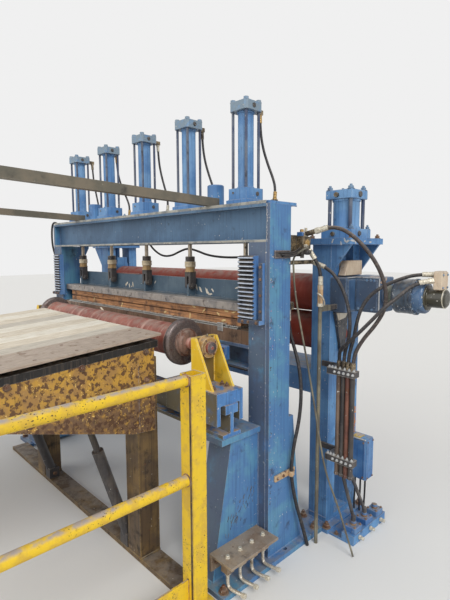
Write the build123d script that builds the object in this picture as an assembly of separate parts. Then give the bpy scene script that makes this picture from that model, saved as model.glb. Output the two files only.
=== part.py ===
"""Entry end of a slitting line: pad press stand with its pass roll and feed table, and pinch roll stand.

Millimetres.  X runs across the line and +X is the operator's side, +Y is downstream, +Z is up.
The origin is on the floor, under the row of press cylinders and on the line's centre.
"""
import math
import os

from build123d import *

# Press stand: two columns that carry the crown
column_inner_x = 1102.0        # clear half width between the columns
column_width = 116.0           # box part of the column, along X
column_wall = 14.0
column_front_y = -127.0
column_rear_y = 35.0
cheek_thick = 24.0             # outer side plate, up to the crown's top
base_thick = 25.0
base_margin = 42.0             # base plate beyond the column, along X
base_front_y = -486.0
base_rear_y = 300.0            # meets the pinch housing's foot
anchor_dia = 26.0
anchor_inset = 32.0
rear_gusset_top_z = 748.0
rear_gusset_top_depth = 36.0
rear_gusset_foot_depth = 115.0

# Crown: two channels back to back with a slot for the rods, under one plate
crown_bottom_z = 1663.0
crown_height = 186.0
crown_half_depth = 127.0
crown_flange_reach = 60.0
crown_flange_thick = 14.0
crown_web_thick = 10.0
crown_plate_thick = 16.0
crown_plate_half_depth = 110.0
crown_rear_overhang = 50.0     # rear channel beyond the columns' inner faces
crown_seat_height = 190.0
crown_seat_thick = 14.0
can_dia = 96.0                 # blind cans between the outer cylinders
can_height = 130.0
can_chamfer = 5.0

# Press cylinders
cylinder_count = 5
cylinder_pitch = 480.0
foot_size = 150.0
foot_thick = 25.0
head_size = 130.0
head_height = 61.0
barrel_dia = 84.0
barrel_height = 398.0
cap_height = 46.0
cap_chamfer = 14.0
tie_rod_dia = 14.0
tie_rod_offset = 48.0
nut_height = 14.0
nut_width = 24.0

# Rods that hang the press beam
rod_dia = 25.0
rod_clearance = 1.0
coupler_dia = 66.0
coupler_neck_dia = 56.0
coupler_top_z = 1587.0
coupler_band_height = 32.0
clevis_top_z = 1490.0
clevis_bottom_z = 1383.0
clevis_width = 53.0
clevis_depth = 46.0
clevis_slot = 20.0
lug_thick = 16.0
pin_dia = 22.0
pin_reach = 6.0                # pin beyond the clevis

# Press beam and pads
beam_side_gap = 12.0           # press beam to column
beam_base_z = 1300.0
beam_base_height = 42.0
beam_half_depth = 100.0
beam_web_y = 34.0
beam_web_thick = 16.0
beam_top_z = 1452.0
beam_rib_thick = 12.0
beam_rib_inset = 8.0
pad_inset = 80.0               # pads shorter than the press beam
pad_half_depth = 88.0
upper_pad_thick = 42.0
pad_gap = 6.0                  # strip gap with the beam down
lower_pad_thick = 34.0
lower_strip_thick = 13.0
beam_travel = 60.0
running_gap = 6.0

# Lower platen and the bed beam below it
platen_height = 74.0
platen_half_depth = 120.0
platen_wall = 16.0
bed_height = 135.0
bed_flange_thick = 16.0
bed_web_thick = 14.0

# Racks and guide bars on the columns' fronts
rack_overhang = 36.0           # rack past the column's inner face
rack_width = 103.0
rack_depth = 44.0
rack_tooth_depth = 15.0
rack_bottom_z = 1277.0
rack_teeth = 15
rack_pitch = 21.3
rack_land = 6.0
rack_ledge_height = 22.0
guide_bar_inset = 86.0
guide_bar_width = 24.0
guide_bar_depth = 20.0
guide_bar_top_z = 1560.0

# Pass roll at the entry of the press
roll_y = -322.0
roll_z = 1140.0
roll_dia = 175.0
roll_wall = 14.0
roll_half_length = 788.0
flange_dia = 250.0
flange_thick = 42.0
flange_chamfer = 9.0
hub_dia = 150.0
hub_length = 34.0
journal_dia = 60.0
journal_stub = 17.0            # journal beyond its bearing
journal_gap = 0.4
bearing_dia = 104.0
bearing_length = 38.0

# Brackets, saddles, cross rail and legs under the pass roll
bracket_inset = 193.0          # bearing plate from the saddle's outer end
bracket_thick = 20.0
bracket_half_depth = 74.0
bracket_top_z = 1192.0
bracket_gusset_thick = 12.0
bracket_gusset_reach = 138.0
bracket_gusset_tip = 14.0
saddle_top_z = 948.0
saddle_height = 158.0
saddle_inset = 7.0             # saddle from the leg's outer face
saddle_length = 400.0
saddle_half_depth = 87.5
saddle_slot_half = 64.0
saddle_slot_height = 95.0
rail_head_half = 42.0
rail_head_height = 44.0
rail_web_thick = 22.0
rail_foot_half = 60.0
rail_foot_thick = 18.0
rail_overhang = 12.0           # rail beyond the saddles
ledge_top_z = 726.0
ledge_thick = 29.0
ledge_front_y = -398.0
leg_width = 150.0
leg_offset = 70.0              # leg past the column's inner face
leg_wall = 14.0
leg_front_top_y = -324.0
leg_front_foot_y = -452.0

# Feed table, sloping down towards the coil
table_far_x = -620.0           # far edge of the planks
table_plank_x = 600.0          # near edge of the planks
table_near_x = 838.0           # near edge of the steel side plate
table_end_y = -486.0
table_end_z = 1212.0
table_length = 1414.0
table_slope = 3.79
deck_thick = 40.0
side_deck_thick = 12.0
side_inset = 30.0              # side plates set back under the deck's edges
side_plate_thick = 20.0
side_plate_front_y = -511.0
side_plate_front_z = 705.0
side_plate_knee_y = -640.0
side_plate_knee_z = 718.0
side_plate_rear_y = -1250.0
side_plate_rear_depth = 225.0
table_cross_size = 80.0
table_cross_count = 5
table_post_size = 120.0
table_post_wall = 6.0
table_post_front_y = base_front_y
strut_foot_y = -571.0
strut_dia = 60.0
strut_rod_dia = 34.0
strut_tube_length = 570.0
strut_lug_size = 70.0
strut_inset = 218.0            # struts set in from the deck's edges

# Guard rail on the operator's side
guard_offset = 83.0            # rail past the columns' inner faces
guard_post_size = 80.0
guard_post_wall = 5.0
guard_post_y = -570.0
guard_length = 1440.0
guard_top_z = 1090.0
guard_pipe_dia = 50.0
guard_pipe_wall = 4.0
guard_mid_z = 612.0
guard_toe_bottom_z = 20.0
guard_toe_height = 120.0
guard_toe_thick = 8.0
guard_foot_size = 140.0
guard_foot_thick = 12.0
guard_anchor_dia = 14.0
guard_anchor_offset = 54.0     # two anchors a foot, beside the post

# Overhead bars laid on the crown
bar_size = 45.0
bar_x = 795.0
bar_length = 1250.0
bar_rise = 1.9
bar_end_y = -62.0

# Pinch roll stand, downstream
pinch_y = 500.0
pinch_gap_z = 1252.0
pinch_roll_dia = 226.0
pinch_roll_gap = 6.0
pinch_roll_end_gap = 32.0      # roll body to housing
pinch_roll_wall = 22.0
pinch_journal_dia = 90.0
pinch_travel = 40.0
housing_offset = 56.0          # housing past the columns' inner faces
housing_width = 122.0
post_front_y = 345.0
post_depth = 82.0
post_wall = 12.0
housing_sill_height = 60.0
housing_shelf_z = 980.0
housing_shelf_height = 50.0
top_plate_bottom_z = 1653.0
top_plate_thick = 34.0
top_plate_inner_reach = 34.0
top_plate_outer_reach = 129.0
top_plate_half_depth = 176.0
top_gusset_thick = 14.0
top_gusset_height = 165.0
top_gusset_inset = 6.0
top_plate_bore_gap = 3.0
housing_foot_inner_reach = 40.0
housing_foot_outer_reach = 42.0
housing_foot_rear_y = 700.0
housing_foot_thick = 25.0
housing_anchor_inset = 20.0
chock_gap = 6.0
lower_chock_drop = 8.0
journal_inset = 2.0
chock_height = 216.0
chock_yoke_height = 88.0
chock_yoke_width = 104.0
pinch_cylinder_offset = 92.0   # cylinder's axis from the housing's inner face
pinch_base_size = 186.0
pinch_base_height = 52.0
pinch_barrel_dia = 146.0
pinch_barrel_height = 160.0
pinch_cap_size = 168.0
pinch_cap_height = 56.0
pinch_tie_dia = 20.0
pinch_tie_offset = 66.0
pinch_rod_dia = 44.0
pinch_rod_entry = 20.0
pinch_nut_width = 34.0
pinch_nut_height = 18.0
pinch_beam_height = 140.0
pinch_beam_wall = 12.0
drive_case_depth = 450.0
drive_case_width = 104.0
drive_case_bottom_z = 1010.0
drive_case_top_z = 1474.0
drive_case_round = 30.0
motor_dia = 150.0
motor_length = 300.0
motor_z = 1372.0
motor_bell_dia = 110.0
motor_bell_length = 120.0
motor_flange_dia = 174.0
motor_flange_thick = 18.0
motor_ring_dia = 164.0
motor_ring_thick = 16.0
motor_cap_dia = 158.0
motor_cap_length = 40.0
motor_cap_chamfer = 12.0
motor_port_length = 40.0
motor_port_y = (430.0, 530.0)
motor_port_z = (1420.0, 1518.0)

# Clamped pipes, valve blocks and junction box on the pinch stand
pipe_count = 4
pipe_dia = 25.0
pipe_pitch = 27.0
pipe_first_x = 1408.0
pipe_y = 245.0
pipe_bottom_z = 430.0
clamp_low_z = 490.0
clamp_high_z = 970.0
clamp_height = 30.0
clamp_depth = 44.0
clamp_reach = 62.0             # clamp bars before the first pipe
clamp_tail = 24.0
clamp_arm_width = 40.0
clamp_arm_thick = 14.0
slant_tube_dia = 19.0          # tubes from the pipes down to the valve blocks
slant_ferrule_height = 30.0
junction_width = 118.0
junction_height = 250.0
junction_depth = 84.0
junction_z = 250.0
junction_round = 6.0
manifold_offset = 86.0         # blocks beyond the housing's foot
manifold_y = 310.0
manifold_length = 360.0
manifold_height = 52.0
manifold_depth = 74.0
manifold_foot_thick = 12.0
manifold_blocks = 3
manifold_block_inset = 6.0
manifold_block_length = 72.0
manifold_block_height = 34.0
manifold_cap_dia = 30.0
manifold_cap_height = 24.0

# Angle with pipe elbows at the foot of the near leg
leg_angle_y = (-470.0, -140.0)
leg_angle_top_z = 187.0
leg_angle_height = 87.0
leg_angle_reach = 150.0
leg_angle_thick = 12.0
leg_elbow_count = 4
leg_elbow_size = 44.0
leg_elbow_height = 55.0
leg_elbow_x = 82.0

# Fittings at the near column's rear, and the rigid pipes that drop from them
slim_sides = 12                # thin tie rods and pipes are modelled with few faces
fitting_plate_thick = 10.0
fitting_plate_depth = 110.0
fitting_plate_z = (1590.0, 1700.0)
valve_width = 40.0
valve_y = (100.0, 168.0)
valve_z = (1628.0, 1692.0)
ferrule_reach = 34.0
ferrule_dia = 26.0
arch_ferrule_reach = 78.0
port_pipe_dia = 22.0
port_pipe_x = 1165.0
port_pipe_z = 1556.0
column_elbow_size = 40.0
column_elbow_depth = 92.0
clip_bar_y = (-80.0, 78.0)
clip_bar_z = 432.0
clip_bar_height = 24.0
clip_bar_thick = 10.0
rear_elbow_y = 170.0
rear_elbow_z = (1800.0, 1822.0)
rear_elbow_half = 22.0
drop_pipe_dia = 20.0
drop_pipe_top_z = 1330.0
sleeve_dia = 27.0
sleeve_arm_height = 30.0
thin_pipe_dia = 10.0
thin_pipe_route = [(1268, 118, 1640), (1299, 118, 1640), (1280, 76, 1622), (1237, 62, 1588),
                   (1238, 74, 1427), (1258, 98, 1248), (1293, 126, 1020), (1321, 150, 810),
                   (1349, 166, 606), (1379, 190, 418), (1441, 213, 258), (1528, 230, 6)]

# Hoses, each along points chosen by eye on its real route
hose_dia = 18.0
arch_hose_dia = 20.0
column_hose_dia = 19.0
rear_hose_dia = 14.0
arch_hose_route = [(1324, 170, 1726), (1376, 184, 1740), (1441, 203, 1726), (1507, 226, 1674),
                   (1569, 252, 1596), (1613, 276, 1508), (1631, 296, 1415), (1622, 304, 1325),
                   (1576, 296, 1242), (1522, 270, 1164), (1489, 245, 1078), (1489, 245, 1000)]
port_hose_route = [(1284, 215, 1549), (1342, 222, 1528), (1396, 230, 1474), (1436, 234, 1402),
                   (1465, 232, 1322), (1479, 226, 1240), (1468, 228, 1158), (1435, 245, 1077),
                   (1435, 245, 1000)]
motor_upper_hose_route = [(1772, 478, 1500), (1712, 448, 1500), (1645, 405, 1476), (1578, 358, 1438),
                          (1526, 316, 1386), (1498, 288, 1318), (1486, 270, 1240), (1480, 259, 1160),
                          (1462, 245, 1080), (1462, 245, 1000)]
motor_lower_hose_route = [(1770, 442, 1468), (1724, 405, 1458), (1684, 330, 1401), (1640, 258, 1342),
                          (1594, 212, 1273), (1538, 190, 1205), (1464, 196, 1136), (1424, 221, 1102),
                          (1408, 245, 1052), (1408, 245, 1000)]
column_hose_route = [(1176, 105, 1290), (1180, 106, 1205), (1214, 108, 1110), (1250, 107, 1015),
                     (1273, 102, 879), (1278, 80, 727), (1270, 40, 585), (1263, 30, 440),
                     (1270, 64, 270), (1286, 110, 120), (1300, 138, 3)]
sleeve_hose_route = [(1266, 172, 1612), (1300, 182, 1562), (1318, 192, 1503), (1318, 192, 1442)]
rear_hose_route = [(1052, 105, 1606), (985, 122, 1600), (880, 138, 1588), (740, 140, 1580),
                   (600, 141, 1582), (480, 140, 1595), (380, 140, 1623), (285, 140, 1640),
                   (195, 140, 1618), (105, 140, 1588), (0, 141, 1584), (-90, 140, 1618),
                   (-165, 141, 1668), (-205, 145, 1730), (-212, 150, 1785)]

# Hoses from the press cylinders' caps down to the crown: where each starts and ends beside its axis
cylinder_hose_dia = 14.0
cylinder_hose_starts = (35.0, -50.0, 25.0, 15.0, 15.0)
cylinder_hose_ends = (112.0, 110.0, 120.0, 120.0, 120.0)
cylinder_hose_steps = [(0, 96, 2338), (0, 100, 2262), (0.15, 104, 2172), (0.45, 108, 2085),
                       (0.8, 108, 2010), (1, 104, 1955), (1, 100, 1905)]
cylinder_ferrule_dia = 20.0
cylinder_ferrule_reach = 22.0
cylinder_elbow_half = 12.0
cylinder_elbow_y = 108.0
cylinder_stub_half = 14.0

# Worked out from the sizes above
beam_half_length = column_inner_x - beam_side_gap
pad_half_length = beam_half_length - pad_inset
rack_inner_x = column_inner_x - rack_overhang
guide_bar_x = column_inner_x + guide_bar_inset
leg_outer_x = column_inner_x + leg_offset
saddle_outer_x = leg_outer_x - saddle_inset
bracket_x = saddle_outer_x - bracket_inset
journal_end_x = bracket_x + bracket_thick / 2 + bearing_length + journal_stub
guard_x = column_inner_x + guard_offset
cheek_outer_x = column_inner_x + column_width + cheek_thick
cheek_inner_x = cheek_outer_x - cheek_thick
crown_top_z = crown_bottom_z + crown_height
plate_top_z = crown_top_z + crown_plate_thick
foot_top_z = plate_top_z + foot_thick
head_top_z = foot_top_z + head_height
barrel_top_z = head_top_z + barrel_height
cap_top_z = barrel_top_z + cap_height
upper_pad_z = beam_base_z - upper_pad_thick
lower_pad_top_z = upper_pad_z - pad_gap
lower_pad_z = lower_pad_top_z - lower_pad_thick
lower_strip_z = lower_pad_z - lower_strip_thick
platen_z = lower_strip_z - platen_height
bed_z = platen_z - bed_height
rail_top_z = saddle_top_z - saddle_height + saddle_slot_height
housing_inner_x = column_inner_x + housing_offset
housing_outer_x = housing_inner_x + housing_width
housing_foot_x = (housing_inner_x - housing_foot_inner_reach, housing_outer_x + housing_foot_outer_reach)
housing_foot_y = (base_rear_y, housing_foot_rear_y)
top_plate_inner_x = housing_inner_x - top_plate_inner_reach
top_plate_outer_x = housing_outer_x + top_plate_outer_reach
pinch_cylinder_x = housing_inner_x + pinch_cylinder_offset
pinch_roll_half_length = housing_inner_x - pinch_roll_end_gap
manifold_x = housing_foot_x[1] + manifold_offset
post_rear_y = 2 * pinch_y - post_front_y
window_front_y = post_front_y + post_depth
window_rear_y = post_rear_y - post_depth
upper_roll_z = pinch_gap_z + (pinch_roll_dia + pinch_roll_gap) / 2
lower_roll_z = pinch_gap_z - (pinch_roll_dia + pinch_roll_gap) / 2
table_rear_y = table_end_y - table_length
table_rear_post_y = table_rear_y + table_cross_size + table_post_size / 2
table_cross_first_y = side_plate_front_y - table_cross_size / 2
table_cross_step = (table_cross_first_y - table_rear_y - table_cross_size / 2) / (table_cross_count - 1)
table_cross_y = [table_cross_first_y - i * table_cross_step for i in range(table_cross_count)]
can_x = cylinder_pitch * 1.5     # midway between the outer cylinders
cylinder_x = [cylinder_pitch * (i - (cylinder_count - 1) / 2) for i in range(cylinder_count)]


def block(x0, x1, y0, y1, z0, z1):
    """Box between two corners."""
    centre = Pos((x0 + x1) / 2, (y0 + y1) / 2, (z0 + z1) / 2)
    return centre * Box(abs(x1 - x0), abs(y1 - y0), abs(z1 - z0))


def upright(dia, x, y, z0, z1):
    """Round bar along Z."""
    return Pos(x, y, (z0 + z1) / 2) * Cylinder(dia / 2, abs(z1 - z0))


def crosswise(dia, y, z, x0, x1):
    """Round bar along X."""
    return Pos((x0 + x1) / 2, y, z) * Rot(0, 90, 0) * Cylinder(dia / 2, abs(x1 - x0))


def lengthwise(dia, x, z, y0, y1):
    """Round bar along Y."""
    return Pos(x, (y0 + y1) / 2, z) * Rot(90, 0, 0) * Cylinder(dia / 2, abs(y1 - y0))


def side_profile(points, x0, x1):
    """Outline of (y, z) points, extruded along X."""
    face = Plane.YZ.offset(x0) * make_face(Polyline(*points, close=True))
    return extrude(face, amount=x1 - x0)


def front_profile(points, y0, y1):
    """Outline of (x, z) points, extruded along Y."""
    face = Plane.XZ.offset(-y1) * make_face(Polyline(*points, close=True))
    return extrude(face, amount=y1 - y0)


def tube_between(start, end, dia):
    """Round bar between two points."""
    axis = Plane(origin=start, z_dir=end - start)
    return extrude(axis * Circle(dia / 2), amount=(end - start).length)


def slim_bar(dia, x, y, z0, z1):
    """Thin upright bar with few faces, for rods and pipes that repeat."""
    outline = Pos(x, y, z0) * RegularPolygon(dia / 2, slim_sides)
    return extrude(outline, amount=z1 - z0)


def far(shape):
    """The same piece on the far side of the line."""
    return shape.mirror(Plane.YZ)


def pair(piece):
    """A near piece and its far twin, in one file."""
    return Compound(children=[piece, far(piece)])


def bent_tube(dia, route):
    """Tube of straight runs and tangent arcs, each arc as large as its two runs allow."""
    points = [Vector(*point) for point in route]
    radii = []
    for before, corner, after in zip(points, points[1:], points[2:]):
        turn = (corner - before).get_angle(after - corner)
        shorter = min((corner - before).length, (after - corner).length)
        radii.append(0.45 * shorter / math.tan(math.radians(turn / 2)))
    path = FilletPolyline(*points, radius=radii)
    section = Plane(origin=points[0], z_dir=points[1] - points[0]) * Circle(dia / 2)
    return sweep(section, path=path), path.length, radii


def hose(name, dia, route):
    """Write a free hose, and print its arcs and how its volume compares with section times length."""
    tube, length, radii = bent_tube(dia, route)
    share = tube.volume / (math.pi * dia ** 2 / 4 * length)
    print(f"{name}: length {length:.0f}, volume {share:.3f}, radii", *(f"{radius:.0f}" for radius in radii))
    write(name, tube)


def ferrule(route, dia, reach):
    """Straight fitting that meets the first point of a hose face to face."""
    start = Vector(*route[0])
    back = (start - Vector(*route[1])).normalized()
    return tube_between(start, start + back * reach, dia)


def column():
    """Hollow box column with a full-height outer cheek and a rear gusset."""
    box = block(column_inner_x, cheek_inner_x, column_front_y, column_rear_y, base_thick, crown_bottom_z)
    core = block(column_inner_x + column_wall, cheek_inner_x,
                 column_front_y + column_wall, column_rear_y - column_wall,
                 base_thick, crown_bottom_z - column_wall)
    cheek = block(cheek_inner_x, cheek_outer_x, column_front_y, column_rear_y, base_thick, crown_top_z)
    gusset = side_profile([(column_rear_y, base_thick),
                           (column_rear_y + rear_gusset_foot_depth, base_thick),
                           (column_rear_y + rear_gusset_top_depth, rear_gusset_top_z),
                           (column_rear_y, rear_gusset_top_z)], cheek_inner_x, cheek_outer_x)
    seat = side_profile([(column_rear_y, crown_bottom_z - crown_seat_height),
                         (crown_half_depth, crown_bottom_z - crown_seat_thick),
                         (crown_half_depth, crown_bottom_z), (column_rear_y, crown_bottom_z)],
                        column_inner_x, column_inner_x + crown_seat_thick)
    return box - core + cheek + gusset + seat


def base_plate():
    """Base plate under a column and its front leg, with six anchor holes."""
    x0 = column_inner_x - base_margin
    x1 = cheek_outer_x + base_margin
    plate = block(x0, x1, base_front_y, base_rear_y, 0, base_thick)
    for x in (x0 + anchor_inset, x1 - anchor_inset):
        for y in (base_front_y + anchor_inset, 0, base_rear_y - anchor_inset):
            plate -= upright(anchor_dia, x, y, 0, base_thick)
    return plate


def leg():
    """Box leg in front of a column, flaring towards the floor, under a ledge plate."""
    inner_x = leg_outer_x - leg_width
    ledge_z = ledge_top_z - ledge_thick
    slope = (leg_front_top_y - leg_front_foot_y) / (ledge_z - base_thick)
    shell = side_profile([(column_front_y, base_thick), (leg_front_foot_y, base_thick),
                          (leg_front_top_y, ledge_z), (column_front_y, ledge_z)], inner_x, leg_outer_x)
    top_z = ledge_z - leg_wall
    core = side_profile([(column_front_y - leg_wall, base_thick),
                         (leg_front_foot_y + leg_wall, base_thick),
                         (leg_front_foot_y + leg_wall + slope * (top_z - base_thick), top_z),
                         (column_front_y - leg_wall, top_z)],
                        inner_x + leg_wall, leg_outer_x - leg_wall)
    ledge = block(inner_x - leg_wall, leg_outer_x + leg_wall, ledge_front_y, column_front_y,
                  ledge_z, ledge_top_z)
    return shell - core + ledge


def crown_channel(half_length):
    """Channel of the crown, its flanges towards the feed side."""
    tip = -crown_half_depth
    back = tip + crown_flange_reach
    web = back - crown_web_thick
    low = crown_bottom_z + crown_flange_thick
    high = crown_top_z - crown_flange_thick
    return side_profile([(tip, crown_bottom_z), (back, crown_bottom_z), (back, crown_top_z),
                         (tip, crown_top_z), (tip, high), (web, high), (web, low), (tip, low)],
                        -half_length, half_length)


def crown_plate():
    """Plate across both crown channels, bored for the rods."""
    plate = block(-cheek_inner_x, cheek_inner_x, -crown_plate_half_depth, crown_plate_half_depth,
                  crown_top_z, plate_top_z)
    for x in cylinder_x:
        plate -= upright(rod_dia + 4 * rod_clearance, x, 0, crown_top_z, plate_top_z)
    return plate


def balance_cans():
    """Two closed cans on the crown plate, midway between the outer cylinders."""
    cans = []
    for x in (-can_x, can_x):
        can = upright(can_dia, x, 0, plate_top_z, plate_top_z + can_height)
        cans.append(chamfer(can.edges().group_by(Axis.Z)[-1], can_chamfer))
    return Compound(children=cans)


def hexagon_nut(width, height, x, y, z):
    """Nut standing on z."""
    return Pos(x, y, z) * extrude(RegularPolygon(width / 2, 6, major_radius=False), amount=height)


def press_cylinder(x):
    """Tie-rod cylinder: foot plate, head block, barrel, four tie rods and cap."""
    foot = block(x - foot_size / 2, x + foot_size / 2, -foot_size / 2, foot_size / 2,
                 plate_top_z, foot_top_z)
    head = block(x - head_size / 2, x + head_size / 2, -head_size / 2, head_size / 2,
                 foot_top_z, head_top_z)
    cap = block(x - head_size / 2, x + head_size / 2, -head_size / 2, head_size / 2,
                barrel_top_z, cap_top_z)
    cap = chamfer(cap.edges().filter_by(Axis.Z), cap_chamfer)
    body = foot + head + cap + upright(barrel_dia, x, 0, head_top_z, barrel_top_z)
    for dx in (-tie_rod_offset, tie_rod_offset):
        for dy in (-tie_rod_offset, tie_rod_offset):
            body += slim_bar(tie_rod_dia, x + dx, dy, head_top_z, barrel_top_z)
            body += hexagon_nut(nut_width, nut_height, x + dx, dy, cap_top_z)
    bore_top_z = head_top_z + rod_dia + beam_travel + 2 * running_gap
    body -= upright(rod_dia + 2 * rod_clearance, x, 0, plate_top_z, bore_top_z)
    return body


def press_rods():
    """Rods with their turned couplers, one under each cylinder."""
    rods = []
    band_z = (coupler_top_z + clevis_top_z) / 2
    neck = (coupler_top_z - clevis_top_z - coupler_band_height) / 2
    for x in cylinder_x:
        rod = upright(rod_dia, x, 0, clevis_top_z, head_top_z + rod_dia)
        rod += upright(coupler_dia, x, 0, band_z - coupler_band_height / 2, band_z + coupler_band_height / 2)
        rod += upright(coupler_neck_dia, x, 0, coupler_top_z - neck, coupler_top_z)
        rod += upright(coupler_neck_dia, x, 0, clevis_top_z, clevis_top_z + neck)
        rods.append(rod)
    return Compound(children=rods)


def rod_clevises():
    """Clevises astride the press beam's lugs, each with its pin."""
    clevises = []
    pin_z = clevis_bottom_z + clevis_depth / 2
    for x in cylinder_x:
        fork = block(x - clevis_width / 2, x + clevis_width / 2, -clevis_depth / 2, clevis_depth / 2,
                     pin_z, clevis_top_z)
        fork += crosswise(clevis_depth, 0, pin_z, x - clevis_width / 2, x + clevis_width / 2)
        fork -= block(x - clevis_slot / 2, x + clevis_slot / 2, -clevis_depth / 2, clevis_depth / 2,
                      clevis_bottom_z, clevis_top_z - clevis_width / 2)
        pin_half = clevis_width / 2 + pin_reach
        fork += crosswise(pin_dia, 0, pin_z, x - pin_half, x + pin_half)
        clevises.append(fork)
    return Compound(children=clevises)


def press_beam():
    """Beam that the cylinders lower: base bar, web, lugs and the ribs behind them."""
    beam = block(-beam_half_length, beam_half_length, -beam_half_depth, beam_half_depth,
                 beam_base_z, beam_base_z + beam_base_height)
    base_top_z = beam_base_z + beam_base_height
    beam += block(-beam_half_length, beam_half_length, beam_web_y, beam_web_y + beam_web_thick,
                  base_top_z, beam_top_z)
    pin_z = clevis_bottom_z + clevis_depth / 2
    for x in cylinder_x:
        lug = side_profile([(-clevis_depth / 2, base_top_z), (beam_web_y, base_top_z),
                            (beam_web_y, pin_z + clevis_depth / 2), (0, pin_z + clevis_depth / 2),
                            (-clevis_depth / 2, pin_z)], x - lug_thick / 2, x + lug_thick / 2)
        lug -= crosswise(pin_dia + rod_clearance, 0, pin_z, x - lug_thick / 2, x + lug_thick / 2)
        rib_y = beam_web_y + beam_web_thick
        rib = side_profile([(rib_y, base_top_z), (beam_half_depth - beam_rib_inset, base_top_z),
                            (rib_y, beam_top_z)], x - beam_rib_thick / 2, x + beam_rib_thick / 2)
        beam += lug + rib
    return beam


def pad(z0, z1):
    """Wood pad across the strip."""
    return block(-pad_half_length, pad_half_length, -pad_half_depth, pad_half_depth, z0, z1)


def lower_platen():
    """Box beam under the lower pad, between the columns."""
    half = column_inner_x
    box = block(-half, half, -platen_half_depth, platen_half_depth, platen_z, lower_strip_z)
    core = block(-half, half, -platen_half_depth + platen_wall, platen_half_depth - platen_wall,
                 platen_z + platen_wall, lower_strip_z - platen_wall)
    return box - core


def bed_beam():
    """I-beam between the columns, under the lower platen."""
    half = column_inner_x
    beam = block(-half, half, column_front_y, column_rear_y, platen_z - bed_flange_thick, platen_z)
    beam += block(-half, half, column_front_y, column_rear_y, bed_z, bed_z + bed_flange_thick)
    middle = (column_front_y + column_rear_y) / 2
    beam += block(-half, half, middle - bed_web_thick / 2, middle + bed_web_thick / 2, bed_z, platen_z)
    return beam


def rack():
    """Toothed rack and plain guide bar on a column's front, on their common ledge."""
    back = column_front_y
    root = back - rack_depth + rack_tooth_depth
    tip = back - rack_depth
    points = [(back, rack_bottom_z)]
    for i in range(rack_teeth):
        z = rack_bottom_z + i * rack_pitch
        points += [(root, z), (tip, z + (rack_pitch - rack_land) / 2),
                   (tip, z + (rack_pitch + rack_land) / 2)]
    top_z = rack_bottom_z + rack_teeth * rack_pitch
    points += [(root, top_z), (back, top_z)]
    body = side_profile(points, rack_inner_x, rack_inner_x + rack_width)
    body += block(rack_inner_x, guide_bar_x + guide_bar_width, tip, back,
                  rack_bottom_z - rack_ledge_height, rack_bottom_z)
    body += block(guide_bar_x, guide_bar_x + guide_bar_width, back - guide_bar_depth, back,
                  rack_bottom_z, guide_bar_top_z)
    return body


def hollow_roll(dia, wall, half_length, journal, end_x, y, z):
    """Tube closed by its two journals, lying along X."""
    outline = [(0, -end_x), (journal / 2, -end_x), (journal / 2, -half_length), (dia / 2, -half_length),
               (dia / 2, half_length), (journal / 2, half_length), (journal / 2, end_x), (0, end_x)]
    body = revolve(Plane.XY * make_face(Polyline(*outline, close=True)), axis=Axis.Y)
    hollow = Rot(90, 0, 0) * Cylinder(dia / 2 - wall, 2 * (half_length - wall))
    return Pos(0, y, z) * Rot(0, 0, 90) * (body - hollow)


def pass_roll():
    """Hollow roll body closed by its journals."""
    return hollow_roll(roll_dia, roll_wall, roll_half_length, journal_dia, journal_end_x, roll_y, roll_z)


def pass_roll_flanges():
    """Retaining flanges with stepped hubs on the roll's journals."""
    pieces = []
    for side in (-1, 1):
        inner = side * roll_half_length
        outer = side * (roll_half_length + flange_thick)
        disc = crosswise(flange_dia, roll_y, roll_z, inner, outer)
        disc = chamfer(disc.edges(), flange_chamfer)
        disc += crosswise(hub_dia, roll_y, roll_z, outer, outer + side * hub_length)
        disc -= crosswise(journal_dia, roll_y, roll_z, inner, outer + side * hub_length)
        pieces.append(disc)
    return Compound(children=pieces)


def roll_bracket():
    """Bearing plate with its bearing and two triangular gussets."""
    x0 = bracket_x - bracket_thick / 2
    x1 = bracket_x + bracket_thick / 2
    front = roll_y - bracket_half_depth
    rear = roll_y + bracket_half_depth
    body = block(x0, x1, front, rear, saddle_top_z, bracket_top_z)
    for y0, y1 in ((front, front + bracket_gusset_thick), (rear - bracket_gusset_thick, rear)):
        body += front_profile([(x1, saddle_top_z), (x1 + bracket_gusset_reach, saddle_top_z),
                               (x1 + bracket_gusset_tip, bracket_top_z), (x1, bracket_top_z)], y0, y1)
    body += crosswise(bearing_dia, roll_y, roll_z, x1, x1 + bearing_length)
    body -= crosswise(journal_dia + 2 * journal_gap, roll_y, roll_z, x0, x1 + bearing_length)
    return body


def saddle():
    """Block under a roll bracket, slotted over the cross rail."""
    inner_x = saddle_outer_x - saddle_length
    bottom_z = saddle_top_z - saddle_height
    body = block(inner_x, saddle_outer_x, roll_y - saddle_half_depth, roll_y + saddle_half_depth,
                 bottom_z, saddle_top_z)
    body -= block(inner_x, saddle_outer_x, roll_y - saddle_slot_half, roll_y + saddle_slot_half,
                  bottom_z, rail_top_z)
    return body


def cross_rail():
    """Rail across the line on the legs' ledges."""
    half = saddle_outer_x + rail_overhang
    foot_z = ledge_top_z + rail_foot_thick
    head_z = rail_top_z - rail_head_height
    return side_profile([(roll_y - rail_foot_half, ledge_top_z), (roll_y + rail_foot_half, ledge_top_z),
                         (roll_y + rail_foot_half, foot_z), (roll_y + rail_web_thick / 2, foot_z),
                         (roll_y + rail_web_thick / 2, head_z), (roll_y + rail_head_half, head_z),
                         (roll_y + rail_head_half, rail_top_z), (roll_y - rail_head_half, rail_top_z),
                         (roll_y - rail_head_half, head_z), (roll_y - rail_web_thick / 2, head_z),
                         (roll_y - rail_web_thick / 2, foot_z), (roll_y - rail_foot_half, foot_z)],
                        -half, half)


def table_height(y, below=0.0):
    """Height of the sloping table at y, a given depth below its top."""
    slope = Vector(1, 0, 0).rotate(Axis.Z, table_slope)
    return table_end_z + (y - table_end_y) * slope.Y / slope.X - below


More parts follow.
